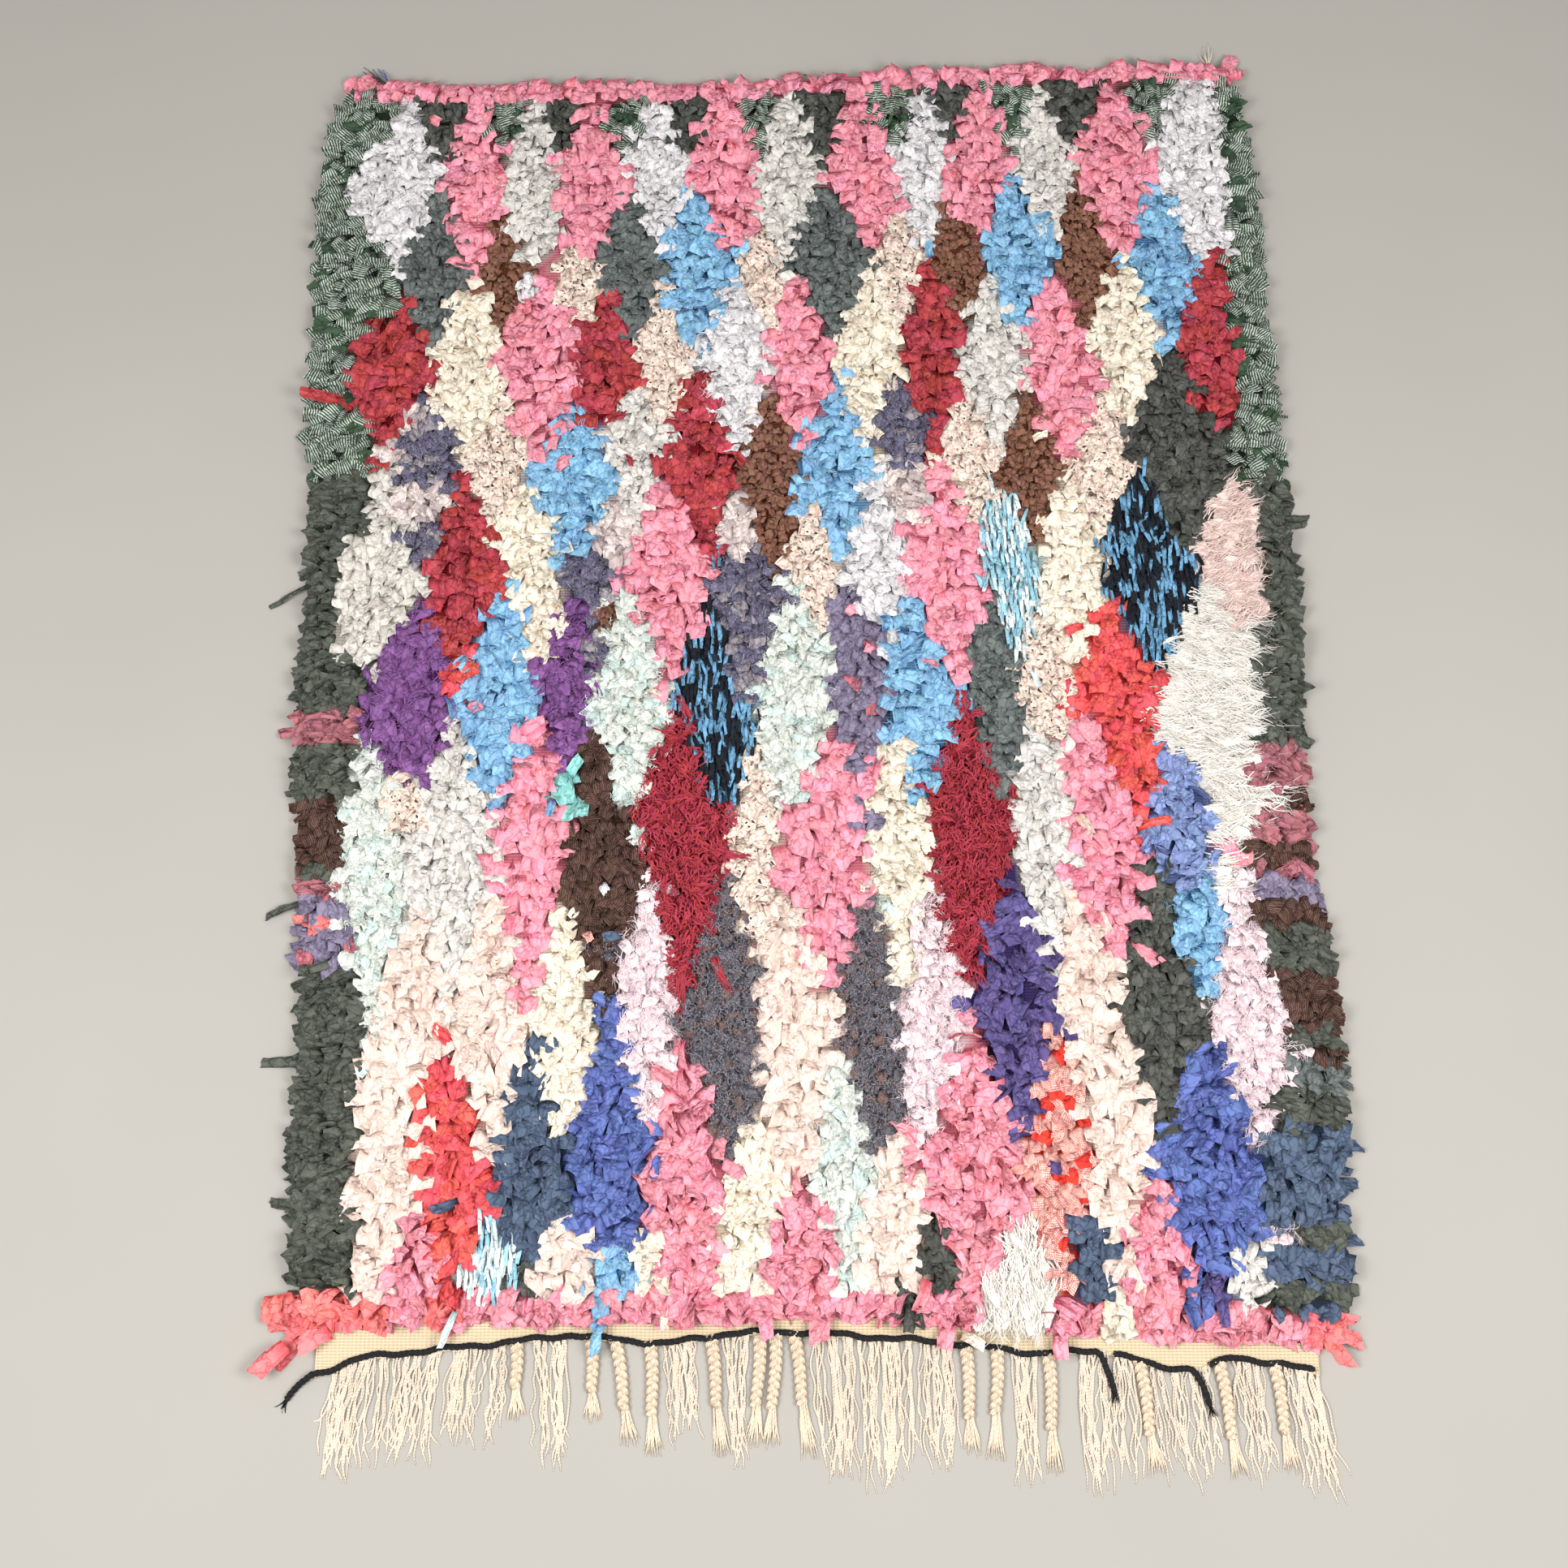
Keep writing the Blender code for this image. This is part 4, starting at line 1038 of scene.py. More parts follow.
def quads_of(corner: np.ndarray) -> np.ndarray:
    """The faces of a grid of corner numbers, one row of four each."""
    return np.stack([corner[:-1, :-1], corner[:-1, 1:], corner[1:, 1:], corner[1:, :-1]], -1).reshape(-1, 4)


def placed(name: str, mesh: bpy.types.Mesh, crease: float) -> bpy.types.Object:
    """Shades a mesh smooth, but for edges over a crease angle in degrees, and puts it in the scene."""
    mesh.polygons.foreach_set("use_smooth", np.ones(len(mesh.polygons), bool))
    mesh.set_sharp_from_angle(angle=math.radians(crease))
    piece = bpy.data.objects.new(name, mesh)
    bpy.context.scene.collection.objects.link(piece)
    return piece


@dataclass
class StripMesh:
    """Joins many small strips, each a grid of points, into one piece."""

    points: list[np.ndarray] = field(default_factory=list)
    places: list[np.ndarray] = field(default_factory=list)
    casts: list[np.ndarray] = field(default_factory=list)
    faces: list[np.ndarray] = field(default_factory=list)
    total: int = 0

    def add(self, points: np.ndarray, places: np.ndarray, casts: np.ndarray) -> None:
        """Adds strips of one grid size.

        Args:
            points: Corners, as strips by rows by columns by 3.
            places: Places on the cloth, as strips by rows by columns by 2.
            casts: Chance values and painted light, low where shade is painted, as strips by rows by columns by 3.
        """
        strips, rows, columns = points.shape[:3]
        quads = quads_of(np.arange(rows * columns).reshape(rows, columns))
        starts = self.total + np.arange(strips) * rows * columns
        self.faces.append((quads[None] + starts[:, None, None]).reshape(-1, 4))
        self.points.append(points.reshape(-1, 3))
        self.places.append(places.reshape(-1, 2))
        self.casts.append(casts.reshape(-1, 3))
        self.total += strips * rows * columns

    def build(self, name: str, material: bpy.types.Material, crease: float = 32) -> bpy.types.Object:
        """Makes the joined piece.

        Args:
            name: The piece's name.
            material: Its material.
            crease: The angle in degrees over which an edge stays sharp.

        Returns:
            The object, linked to the scene.
        """
        points = np.concatenate(self.points).astype(np.float32)
        quads = np.concatenate(self.faces).astype(np.int32)
        places = np.concatenate(self.places)[quads.ravel()].astype(np.float32)
        casts = np.concatenate(self.casts)
        mesh = bpy.data.meshes.new(name)
        mesh.vertices.add(len(points))
        mesh.vertices.foreach_set("co", points.ravel())
        mesh.loops.add(quads.size)
        mesh.loops.foreach_set("vertex_index", quads.ravel())
        mesh.polygons.add(len(quads))
        mesh.polygons.foreach_set("loop_start", np.arange(0, quads.size, 4, dtype=np.int32))
        mesh.uv_layers.new(name="cloth").uv.foreach_set("vector", places.ravel())
        colours = np.concatenate([casts, np.ones((len(casts), 1))], axis=1).astype(np.float32)
        mesh.attributes.new("tuft", "FLOAT_COLOR", "POINT").data.foreach_set("color", colours.ravel())
        mesh.update(calc_edges=True)
        mesh.validate()
        mesh.materials.append(material)
        return placed(name, mesh, crease)


def dress(piece: bpy.types.Object, node: str) -> bpy.types.Object:
    """Makes a piece ride on the rug's body and stand for the CAD node that it replaces."""
    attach(piece, "root")
    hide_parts(node)
    LOG.info("%s: %d triangles", piece.name, sum(len(face.vertices) - 2 for face in piece.data.polygons))
    return piece


def turned(points: np.ndarray, lean: np.ndarray, roll: np.ndarray, turn: np.ndarray) -> np.ndarray:
    """Leans, rolls and turns strips about their own middles.

    Args:
        points: Corners, as strips by rows by columns by 3, with each tip towards +Y.
        lean: How far each tip is raised, in radians.
        roll: How far each strip is rolled to its side, in radians.
        turn: The way each tip points on the floor, in radians from +X.

    Returns:
        The corners, turned.
    """
    x, y, z = points[..., 0], points[..., 1], points[..., 2]
    lean, roll, turn = (angle[:, None, None] for angle in (lean, roll, turn - math.pi / 2))
    y, z = y * np.cos(lean) - z * np.sin(lean), y * np.sin(lean) + z * np.cos(lean)
    x, z = x * np.cos(roll) + z * np.sin(roll), z * np.cos(roll) - x * np.sin(roll)
    x, y = x * np.cos(turn) - y * np.sin(turn), x * np.sin(turn) + y * np.cos(turn)
    return np.stack([x, y, z], axis=-1)


@dataclass
class TuftMaker:
    """Shapes strips of cloth as folded, crumpled ends."""

    rng: np.random.Generator
    limits: tuple[float, float] = (0.8 * MM, 36 * MM)
    lock_spread: tuple[float, float, float] = (3.2, 3.2, 0.8)
    fibre_steps: int = 7

    def span(self, bounds: tuple[float, float], count: int) -> np.ndarray:
        """Chance values between two bounds, shaped to spread over each strip's grid."""
        return self.rng.uniform(*bounds, count)[:, None, None]

    def lines(self, cells: int, count: int) -> np.ndarray:
        """Places of the grid lines from -1 to 1, each strip's a little uneven."""
        even = np.linspace(-1, 1, cells + 1)[None, :] + np.zeros((count, 1))
        even[:, 1:-1] += self.rng.uniform(-0.3, 0.3, (count, cells - 1)) / cells
        return even

    def shape(self, form: TuftForm, count: int, stretch: float) -> tuple[np.ndarray, np.ndarray, np.ndarray]:
        """Makes strips about their own middles, tips towards +Y.

        Args:
            form: The kind's measures.
            count: How many strips.
            stretch: What their lengths are multiplied by.

        Returns:
            The corners in metres, the places on the cloth in centimetres, and the painted light from 0 to 1, low where
            shade is painted.
        """
        columns, rows = form.grid
        u = self.lines(columns, count)[:, None, :]
        v = self.lines(rows, count)[:, :, None]
        wide = self.span(form.half_across, count) * MM
        long = self.span(form.half_along, count) * MM * stretch
        flare = 1 + self.span((-0.12, 0.16), count) * v
        x = wide * u * flare * (1 - self.span((0.5, 1), count) * form.point * np.clip(v, 0, 1) ** 2)
        y = long * v + wide * self.span((-0.35, 0.35), count) * u * np.clip(v + 0.4, 0, None)
        pleat = self.rng.uniform(0, 1, (count, 1, columns + 1)) * (-1.0) ** np.arange(columns + 1)
        pleat = pleat * self.span((-1, 1), count)
        ridge = self.span(form.ridge, count) * wide * np.abs(u - self.span((-0.6, 0.6), count))
        tip = self.span(form.tip, count) * MM * np.clip((v - self.span((0, 0.6), count)) / 0.7, 0, 1) ** 1.4
        root = form.root * MM * np.clip(-0.3 - v, 0, None) / 0.7
        z = self.span(form.pleat, count) * MM * pleat * 1.4 - ridge - tip - root
        x, y, z = (part + self.rng.normal(0, form.crumple * MM, (count, rows + 1, columns + 1)) for part in (x, y, z))
        shift = self.span((0, 9), count)
        places = np.stack([wide * u / CM + shift + 0 * v, long * v / CM + shift + 0 * u], axis=-1)
        # Painted shade: darker towards the root, which lies under the row above, in the pleats' valleys and at the
        # side edges.
        valley = np.clip(-pleat * self.span(form.pleat, count), 0, 1)
        painted_light = 1 - 0.95 * np.clip(-0.15 - v, 0, 1) - 0.45 * valley - 0.12 * np.abs(u) ** 4
        return np.stack([x, y, z], axis=-1), places, np.clip(painted_light, 0, 1)

    def casts(self, painted_light: np.ndarray) -> np.ndarray:
        """Gives each strip its two chance values, beside its painted light."""
        count = len(painted_light)
        chance = np.broadcast_to(self.span((0, 1), count), painted_light.shape)
        cast = np.broadcast_to(self.span((0, 1), count), painted_light.shape)
        return np.stack([chance, cast, painted_light], axis=-1)

    def stand(
        self,
        mesh: StripMesh,
        form: TuftForm,
        spots: np.ndarray,
        way: np.ndarray,
        stretch: float = 1.0,
        light: float = 1.0,
    ) -> None:
        """Stands strips at places in the pile.

        Args:
            mesh: The piece that they join.
            form: The kind's measures.
            spots: Their middles in metres, one row each.
            way: The way each tip points, in degrees.
            stretch: What their lengths are multiplied by.
            light: What their painted light is multiplied by; below 1 paints them in shade.
        """
        count = len(spots)
        points, places, painted_light = self.shape(form, count, stretch)
        lean = np.radians(self.rng.normal(*form.lean, count))
        roll = np.radians(self.rng.normal(0, form.roll, count))
        points = turned(points, lean, roll, np.radians(way)) + spots[:, None, None, :]
        points[..., 2] = np.clip(points[..., 2], *self.limits)
        mesh.add(points, places, self.casts(painted_light * light))

    def comb(self, mesh: StripMesh, form: FibreForm, spots: np.ndarray, way: np.ndarray) -> None:
        """Lays loose fibres over the pile in small locks, each fibre a narrow ribbon.

        Args:
            mesh: The piece that they join.
            form: The fibres' measures.
            spots: The locks' roots in metres, one row each.
            way: The way each lock lies, in degrees.
        """
        locks = len(spots)
        spots = np.repeat(spots, form.count, axis=0)
        count = len(spots)
        aside = (self.rng.normal(0, 1, (count, 3)) * np.array(self.lock_spread) * MM)[:, None, None, :]
        way = np.repeat(way, form.count) + self.rng.normal(0, form.fan, count)
        s = np.linspace(0, 1, self.fibre_steps + 1)[None, :, None]
        side = np.array([-0.5, 0.5])[None, None, :]
        lock_long = np.repeat(self.span(form.length, locks), form.count, axis=0) * MM
        long = lock_long * self.span((0.6, 1.1), count)
        wide = self.span(form.width, count) * MM
        bend = np.repeat(self.span((-1, 1), locks), form.count, axis=0) * 0.3 * long * s**2
        sway = form.wave * MM * np.sin(s * self.span((3, 7), count) * form.curl + self.span((0, 6.3), count))
        x = bend + sway * (0.2 + s) + side * wide * (1.05 - 0.6 * s)
        y = long * (s - 0.2) + 0 * side
        arch = np.repeat(self.span((0.3, 1), locks), form.count, axis=0)
        z = form.height * MM * (np.sin(np.pi * s**0.6) * arch - 0.7 * s) + 0.4 * MM * side
        points = np.stack(np.broadcast_arrays(x, y, z), axis=-1)
        tilt = np.radians(self.rng.normal(0, 9, count))
        points = turned(points, np.zeros(count), tilt, np.radians(way)) + spots[:, None, None, :]
        points += aside * (1 - 0.8 * s[..., None])
        points[..., 2] = np.clip(points[..., 2], *self.limits)
        places = np.stack(np.broadcast_arrays(side * wide / CM, long * s / CM), axis=-1)
        # Painted shade: each fibre darker at its root and at its tip.
        painted_light = np.broadcast_to(np.clip(0.5 + 1.2 * np.sin(np.pi * s**0.7), 0, 1), x.shape)
        mesh.add(points, places, self.casts(painted_light))


def sized(form: TuftForm, end: "Stray | LongEnd") -> TuftForm:
    """Gives a form the length and width of one end, which are in centimetres."""
    half = (end.width * MM_IN_CM / 2, end.length * MM_IN_CM / 2)
    return replace(form, half_across=(half[0], half[0]), half_along=(half[1], half[1]))


@dataclass
class RagPile:
    """The knotted pile: every cloth's ends, one joined piece for each cloth.

    Reaches, margin, side width and sag are in centimetres, lifts in millimetres, ways in degrees. The drift is a
    share of the step between knots.
    """

    outline: RugOutline
    chart: LozengeChart
    seed: int = 23
    drift: tuple[float, float] = (0.24, 0.18)
    margin: float = 0.2
    reach_across: tuple[float, float] = (-63, 63)
    reach_along: tuple[float, float] = (-74, 91)
    side_width: float = 9
    side_ways: tuple[float, float] = (205, -22)
    stray_lift: float = 6.5
    sag: float = 0.5
    uneven: float = 1.3
    meshes: dict[Rag, StripMesh] = field(default_factory=dict)

    def mesh_of(self, rag: Rag) -> StripMesh:
        """The piece in the making that holds a cloth's ends."""
        return self.meshes.setdefault(rag, StripMesh())

    def lattice(self, step_across: float, step_along: float, rng: np.random.Generator) -> np.ndarray:
        """Places for knots in rows across the rug, a little uneven.

        Args:
            step_across: The step along a row, in millimetres.
            step_along: The step from row to row, in millimetres.
            rng: The source of chance.

        Returns:
            Places in centimetres, one row each.
        """
        step = (step_across / MM_IN_CM, step_along / MM_IN_CM)
        xs = np.arange(*self.reach_across, step[0])
        ys = np.arange(*self.reach_along, step[1])
        grid_x, grid_y = np.meshgrid(xs, ys)
        grid_x = grid_x + rng.uniform(0, step[0], (len(ys), 1))
        spots = np.stack([grid_x.ravel(), grid_y.ravel()], axis=1)
        spots[:, 1] += self.sag * np.sin(spots[:, 0] / 7.5) * np.sin(spots[:, 1] / 23)
        spots += rng.normal(0, 1, spots.shape) * self.drift * step
        return spots[self.outline.holds(spots[:, 0], spots[:, 1], self.margin)]

    def chosen(self, spots: np.ndarray, rag: Rag) -> np.ndarray:
        """The places where a cloth shows."""
        return spots[self.chart.rag_at(spots[:, 0], spots[:, 1]) == self.chart.number(rag)]

    def ways(self, rag: Rag, spots: np.ndarray, turn: float, rng: np.random.Generator) -> np.ndarray:
        """The way each tip points: down the rug, or outwards at its sides."""
        chance = rng.normal(0, turn, len(spots))
        way = RAGS[rag].comb + chance
        if RAGS[rag].tuft is Tuft.OUTWARD:
            x, y = spots.T
            way = np.where(x - self.outline.left_at(y) < self.side_width, self.side_ways[0] + chance, way)
            way = np.where(self.outline.right_at(y) - x < self.side_width, self.side_ways[1] + chance, way)
        return way

    def raised(self, spots: np.ndarray, lift: float, rng: np.random.Generator) -> np.ndarray:
        """Places in metres on the pile's top, lifted by some millimetres."""
        height = self.outline.rise(spots[:, 0], spots[:, 1]) + (lift + rng.normal(0, self.uneven, len(spots))) * MM
        return np.column_stack([spots * CM, height])

    def knot(self, rag: Rag, rng: np.random.Generator) -> None:
        """Knots one cloth: its rows of ends, its standing tabs and its loose fibres."""
        finish = RAGS[rag]
        form = FORMS[finish.tuft]
        maker = TuftMaker(rng)
        spots = self.chosen(self.lattice(form.step_across, form.step_along, rng), rag)
        places = self.raised(spots, form.lift + finish.rise, rng)
        # Pads under loose fibres keep less of their painted light: painted shade under the fibres.
        under = FIBRES[rag].under if rag in FIBRES else 1.0
        maker.stand(self.mesh_of(rag), form, places, self.ways(rag, spots, form.turn, rng), light=under)
        if finish.tabs:
            tab = STANDING if finish.tuft is not Tuft.TAB else LONG_STANDING
            spots = self.chosen(self.lattice(tab.step_across, tab.step_along, rng), rag)
            spots = spots[rng.random(len(spots)) < finish.tabs]
            places = self.raised(spots, tab.lift + finish.rise, rng)
            maker.stand(self.mesh_of(rag), tab, places, self.ways(rag, spots, tab.turn, rng))
        if rag in FIBRES:
            fibre = FIBRES[rag]
            spots = self.chosen(self.lattice(fibre.step, fibre.step, rng), rag)
            places = self.raised(spots, finish.rise + 0.5, rng)
            way = finish.comb + rng.normal(0, fibre.spread, len(spots))
            maker.comb(self.mesh_of(rag), fibre, places, way)

    def strew(self) -> None:
        """Lays the single ends that stray over their neighbours."""
        rng = np.random.default_rng(self.seed + 100)
        maker = TuftMaker(rng)
        for stray in STRAYS:
            mesh, way = self.mesh_of(stray.rag), np.array([stray.way])
            if RAGS[stray.rag].tuft is Tuft.WOOLLY:
                reach = (stray.length * 10, stray.length * 13)
                lock = replace(FIBRES[stray.rag], count=12, length=reach, fan=5, curl=1.4)
                back = stray.length * 0.4
                turn = math.radians(stray.way)
                root = np.array([[stray.x - back * math.cos(turn), stray.y - back * math.sin(turn)]])
                maker.comb(mesh, lock, self.raised(root, 3, rng), way)
            else:
                spots = self.raised(np.array([[stray.x, stray.y]]), self.stray_lift, rng)
                maker.stand(mesh, sized(STRAY_FORM, stray), spots, way)

    def build(self) -> list[bpy.types.Object]:
        """Makes the pile's pieces."""
        for index, rag in enumerate(Rag):
            self.knot(rag, np.random.default_rng(self.seed + index))
        self.strew()
        pieces = []
        for rag, mesh in self.meshes.items():
            material = ClothNodes(RAGS[rag]).build(f"rag_{rag.value}")
            pieces.append(dress(mesh.build(f"pile_{rag.value}", material), "pile_cloth"))
        return pieces


@dataclass
class RimEnds:
    """The rag ends that hang out past the sides and ends of the rug.

    Steps and reaches are in centimetres. A layer is how far inside the edge it hangs, in centimetres, and how high,
    in millimetres.
    """

    outline: RugOutline
    pile: RagPile
    seed: int = 41
    step: float = 1.0
    row_step: float = 1.4
    side_layers: tuple[tuple[float, float], ...] = ((0.7, 13.5), (-0.1, 7.5))
    side_reach: tuple[float, float] = (-70.5, 86.5)
    end_reach: tuple[float, float] = (-56.5, 56.5)
    taken_from: float = 1.3
    form: TuftForm = field(
        default_factory=lambda: TuftForm(
            0, 0, (4.5, 9.5), (8.5, 15.5), (0.1, 0.6), (0.5, 2.8), 0.4, (1, 5), (-20, 11), 18, 18, 0, 3, (5, 5)
        )
    )

    def hang(
        self,
        form: TuftForm,
        places: np.ndarray,
        rags: np.ndarray,
        way: np.ndarray,
        rng: np.random.Generator,
        stretch: float,
    ) -> None:
        """Hangs ends.

        Args:
            form: Their kind's measures.
            places: Their middles, in centimetres across and along and in millimetres up.
            rags: Their cloths' numbers.
            way: The way each tip points, in degrees.
            rng: The source of chance.
            stretch: What their lengths are multiplied by.
        """
        maker = TuftMaker(rng)
        for rag in Rag:
            mine = rags == self.pile.chart.number(rag)
            if mine.any():
                spots = places[mine] * (CM, CM, MM)
                maker.stand(self.pile.mesh_of(rag), form, spots, way[mine], stretch)

    def along_sides(self) -> None:
        """Hangs the ends of both side edges, in two layers."""
        rng = np.random.default_rng(self.seed)
        for inset, height in self.side_layers:
            for sign, edge in ((-1, self.outline.left_at), (1, self.outline.right_at)):
                y = np.arange(*self.side_reach, self.step) + rng.uniform(0, 0.5)
                y = y + rng.normal(0, 0.25, len(y))
                out = edge(y)
                x = out - sign * (inset + rng.normal(0, 0.3, len(y)))
                rags = self.pile.chart.rag_at(out - sign * self.taken_from, y)
                z = height + rng.normal(0, 1.4, len(y))
                way = (188 if sign < 0 else -8) + rng.normal(0, self.form.turn, len(y))
                self.hang(self.form, np.column_stack([x, y, z]), rags, way, rng, 0.95)

    def along_ends(self) -> None:
        """Hangs the ends of the far and near rows."""
        rng = np.random.default_rng(self.seed + 1)
        rows = (
            (self.form, self.outline.far_at, 90, 1.1, 14.5, 0.62),
            (self.form, self.outline.far_at, 90, 0.2, 8.0, 0.55),
            (ROW_FORM, self.outline.near_at, -90, 1.5, 15.5, 0.8),
            (ROW_FORM, self.outline.near_at, -90, 0.8, 12.5, 0.8),
            (ROW_FORM, self.outline.near_at, -90, 0.3, 9, 0.75),
        )
        for form, edge, turn, inset, height, stretch in rows:
            x = np.arange(*self.end_reach, self.step * (1 if form is self.form else self.row_step))
            x = x + rng.normal(0, 0.25, len(x))
            sign = 1 if turn > 0 else -1
            y = edge(x) - sign * (inset + rng.normal(0, 0.2, len(x)))
            rags = self.pile.chart.rag_at(x, edge(x) - sign)
            z = height + rng.normal(0, 1.2, len(x))
            way = turn + rng.normal(0, 20, len(x))
            self.hang(form, np.column_stack([x, y, z]), rags, way, rng, stretch)

    def long_ends(self) -> None:
        """Lays the few ends that reach far out from the rim."""
        rng = np.random.default_rng(self.seed + 2)
        maker = TuftMaker(rng)
        for end in LONG_ENDS:
            form = replace(sized(self.form, end), lean=(end.lean, 0), grid=(4, 9))
            spots = np.array([[end.x * CM, end.y * CM, end.height * MM]])
            maker.stand(self.pile.mesh_of(end.rag), form, spots, np.array([end.way]))

    def build(self) -> None:
        """Adds every hanging end to its cloth's piece."""
        self.along_sides()
        self.along_ends()
        self.long_ends()


@dataclass
class GroundCloth:
    """The woven ground that the knots are tied into."""

    outline: RugOutline
    chart: LozengeChart
    across: int = 72
    along: int = 100
    top: float = 14.5 * MM
    rim: float = 6 * MM
    bottom: float = 0.6 * MM
    under: Tone = (196, 182, 160)
    seed: int = 3

    def build(self) -> bpy.types.Object:
        """Makes the ground as a closed slab, its top painted in darkened tones of the cloths above it."""
        rng = np.random.default_rng(self.seed)
        v, u = np.meshgrid(np.linspace(0, 1, self.along + 1), np.linspace(0, 1, self.across + 1), indexing="ij")
        y = self.outline.near[0] + (self.outline.far[0] - self.outline.near[0]) * v
        x = self.outline.left_at(y) + 0.5 + (self.outline.right_at(y) - self.outline.left_at(y) - 1) * u
        near, far = self.outline.near_at(x) + 0.3, self.outline.far_at(x) - 0.3
        y = near + (far - near) * v
        found = self.chart.rag_at(x.ravel(), y.ravel())
        looks = [RAGS[rag] for rag in self.chart.kinds]
        # Painted shade: the top takes a darkened mix of the shade tone and lit tone of the cloth above, since it shows
        # only in the pile's gaps.
        tints = [np.multiply(linear(look.shade_tone), 0.6) + np.multiply(linear(look.lit), 0.3) for look in looks]
        shade_tone = np.array(tints)[found]
        lump = self.outline.rise(x, y) - self.outline.pile_height
        lump = np.clip(self.rim + 5 * (lump + self.outline.rim_drop), self.rim, self.top)
        lump = lump + rng.uniform(-1.5, 1.5, x.shape) * MM
        top = np.stack([x * CM, y * CM, lump], axis=-1)
        low = np.stack([x * CM, y * CM, np.full(x.shape, self.bottom)], axis=-1)
        piece = slab("ground_cloth", top, low, shade_tone.reshape(*x.shape, 3), linear(self.under))
        piece.data.materials.append(self.material())
        return dress(piece, "pile_cloth")

    def material(self) -> bpy.types.Material:
        """Makes the ground's weave, in the painted shade tones that show through the pile's gaps."""
        kit = NodeKit("ground_weave")
        weave = kit.math("MULTIPLY", kit.wave(kit.spot(), "X", 90, 1.5), kit.wave(kit.spot(), "Y", 90, 1.5))
        return kit.woven(weave, 0.85, 1.5 * MM)


def slab(name: str, top: np.ndarray, low: np.ndarray, tint: np.ndarray, under_tint: Colour) -> bpy.types.Object:
    """Joins a top and a bottom grid with side walls.

    Args:
        name: The piece's name.
        top: The top's corners, as rows by columns by 3.
        low: The bottom's corners, alike.
        tint: The top's colours, alike.
        under_tint: The bottom's colour.

    Returns:
        The closed piece, with its colours as the attribute tuft.
    """
    rows, columns = top.shape[:2]
    index = np.arange(rows * columns).reshape(rows, columns)
    under = index + rows * columns
    quads = [quads_of(index), quads_of(under)[:, [0, 3, 2, 1]]]
    ring = np.concatenate([index[0, :], index[1:, -1], index[-1, -2::-1], index[-2:0:-1, 0]])
    after = np.roll(ring, -1)
    quads.append(np.stack([ring, ring + rows * columns, after + rows * columns, after], -1))
    mesh = bpy.data.meshes.new(name)
    points = np.concatenate([top.reshape(-1, 3), low.reshape(-1, 3)])
    mesh.from_pydata(points.tolist(), [], np.concatenate(quads).tolist())
    tints = np.ones((len(points), 4), np.float32)
    tints[: rows * columns, :3] = tint.reshape(-1, 3)
    tints[rows * columns :, :3] = under_tint
    mesh.attributes.new("tuft", "FLOAT_COLOR", "POINT").data.foreach_set("color", tints.ravel())
    return placed(name, mesh, 50)


@dataclass
class Chances:
    """Chance values, one for each yarn, shaped to spread along it."""

    rng: np.random.Generator
    count: int

    def between(self, low: float, high: float) -> np.ndarray:
        """Even chances between two bounds."""
        return self.rng.uniform(low, high, (self.count, 1))

    def about(self, spread: float) -> np.ndarray:
        """Bell-shaped chances about 0."""
        return self.rng.normal(0, spread, (self.count, 1))

    def some(self, share: float) -> np.ndarray:
        """True for a share of the yarns."""
        return self.rng.random((self.count, 1)) < share


@dataclass
class YarnMaker:
    """Makes round yarns along paths."""

    rng: np.random.Generator
    sides: int = 5
    lowest: float = 0.3 * MM

    def spin(self, mesh: StripMesh, paths: np.ndarray, radius: np.ndarray, painted_light: float | np.ndarray = 1.0) -> None:
        """Adds yarns.

        Args:
            mesh: The piece that they join.
            paths: Points in metres, as yarns by points by 3.
            radius: The radius at each point, as yarns by points.
            painted_light: How light the yarns are painted, 0 for painted shade as in a crease, as one value or as
                yarns by points.
        """
        ahead = np.gradient(paths, axis=1)
        ahead /= np.linalg.norm(ahead, axis=-1, keepdims=True) + 1e-9
        across = np.cross(ahead, np.array([0.0, 0.0, 1.0]))
        across /= np.linalg.norm(across, axis=-1, keepdims=True) + 1e-9
        up = np.cross(across, ahead)
        angle = np.linspace(-math.pi / 2, 1.5 * math.pi, self.sides + 1)
        cosine, sine = (part[None, None, :, None] for part in (np.cos(angle), np.sin(angle)))
        ring = cosine * across[:, :, None] + sine * up[:, :, None]
        points = paths[:, :, None] + radius[:, :, None, None] * ring
        points[..., 2] = np.maximum(points[..., 2], self.lowest)
        run = np.cumsum(np.linalg.norm(np.diff(paths, axis=1, prepend=paths[:, :1]), axis=-1), axis=1) / CM
        turn = np.broadcast_to(np.linspace(0, 1, self.sides + 1)[None, None, :], points.shape[:3])
        places = np.stack([turn, np.broadcast_to(run[:, :, None], turn.shape)], axis=-1)
        chance, cast = (np.broadcast_to(self.rng.random(len(paths))[:, None, None], turn.shape) for _ in range(2))
        light = np.broadcast_to(np.broadcast_to(painted_light, paths.shape[:2])[:, :, None], turn.shape)
        mesh.add(points, places, np.stack([chance, cast, light], axis=-1))


def cord_at(x: np.ndarray) -> np.ndarray:
    """The cord's place along the rug at places across it, in centimetres."""
    return np.interp(x, *zip(*CORD_LINE))


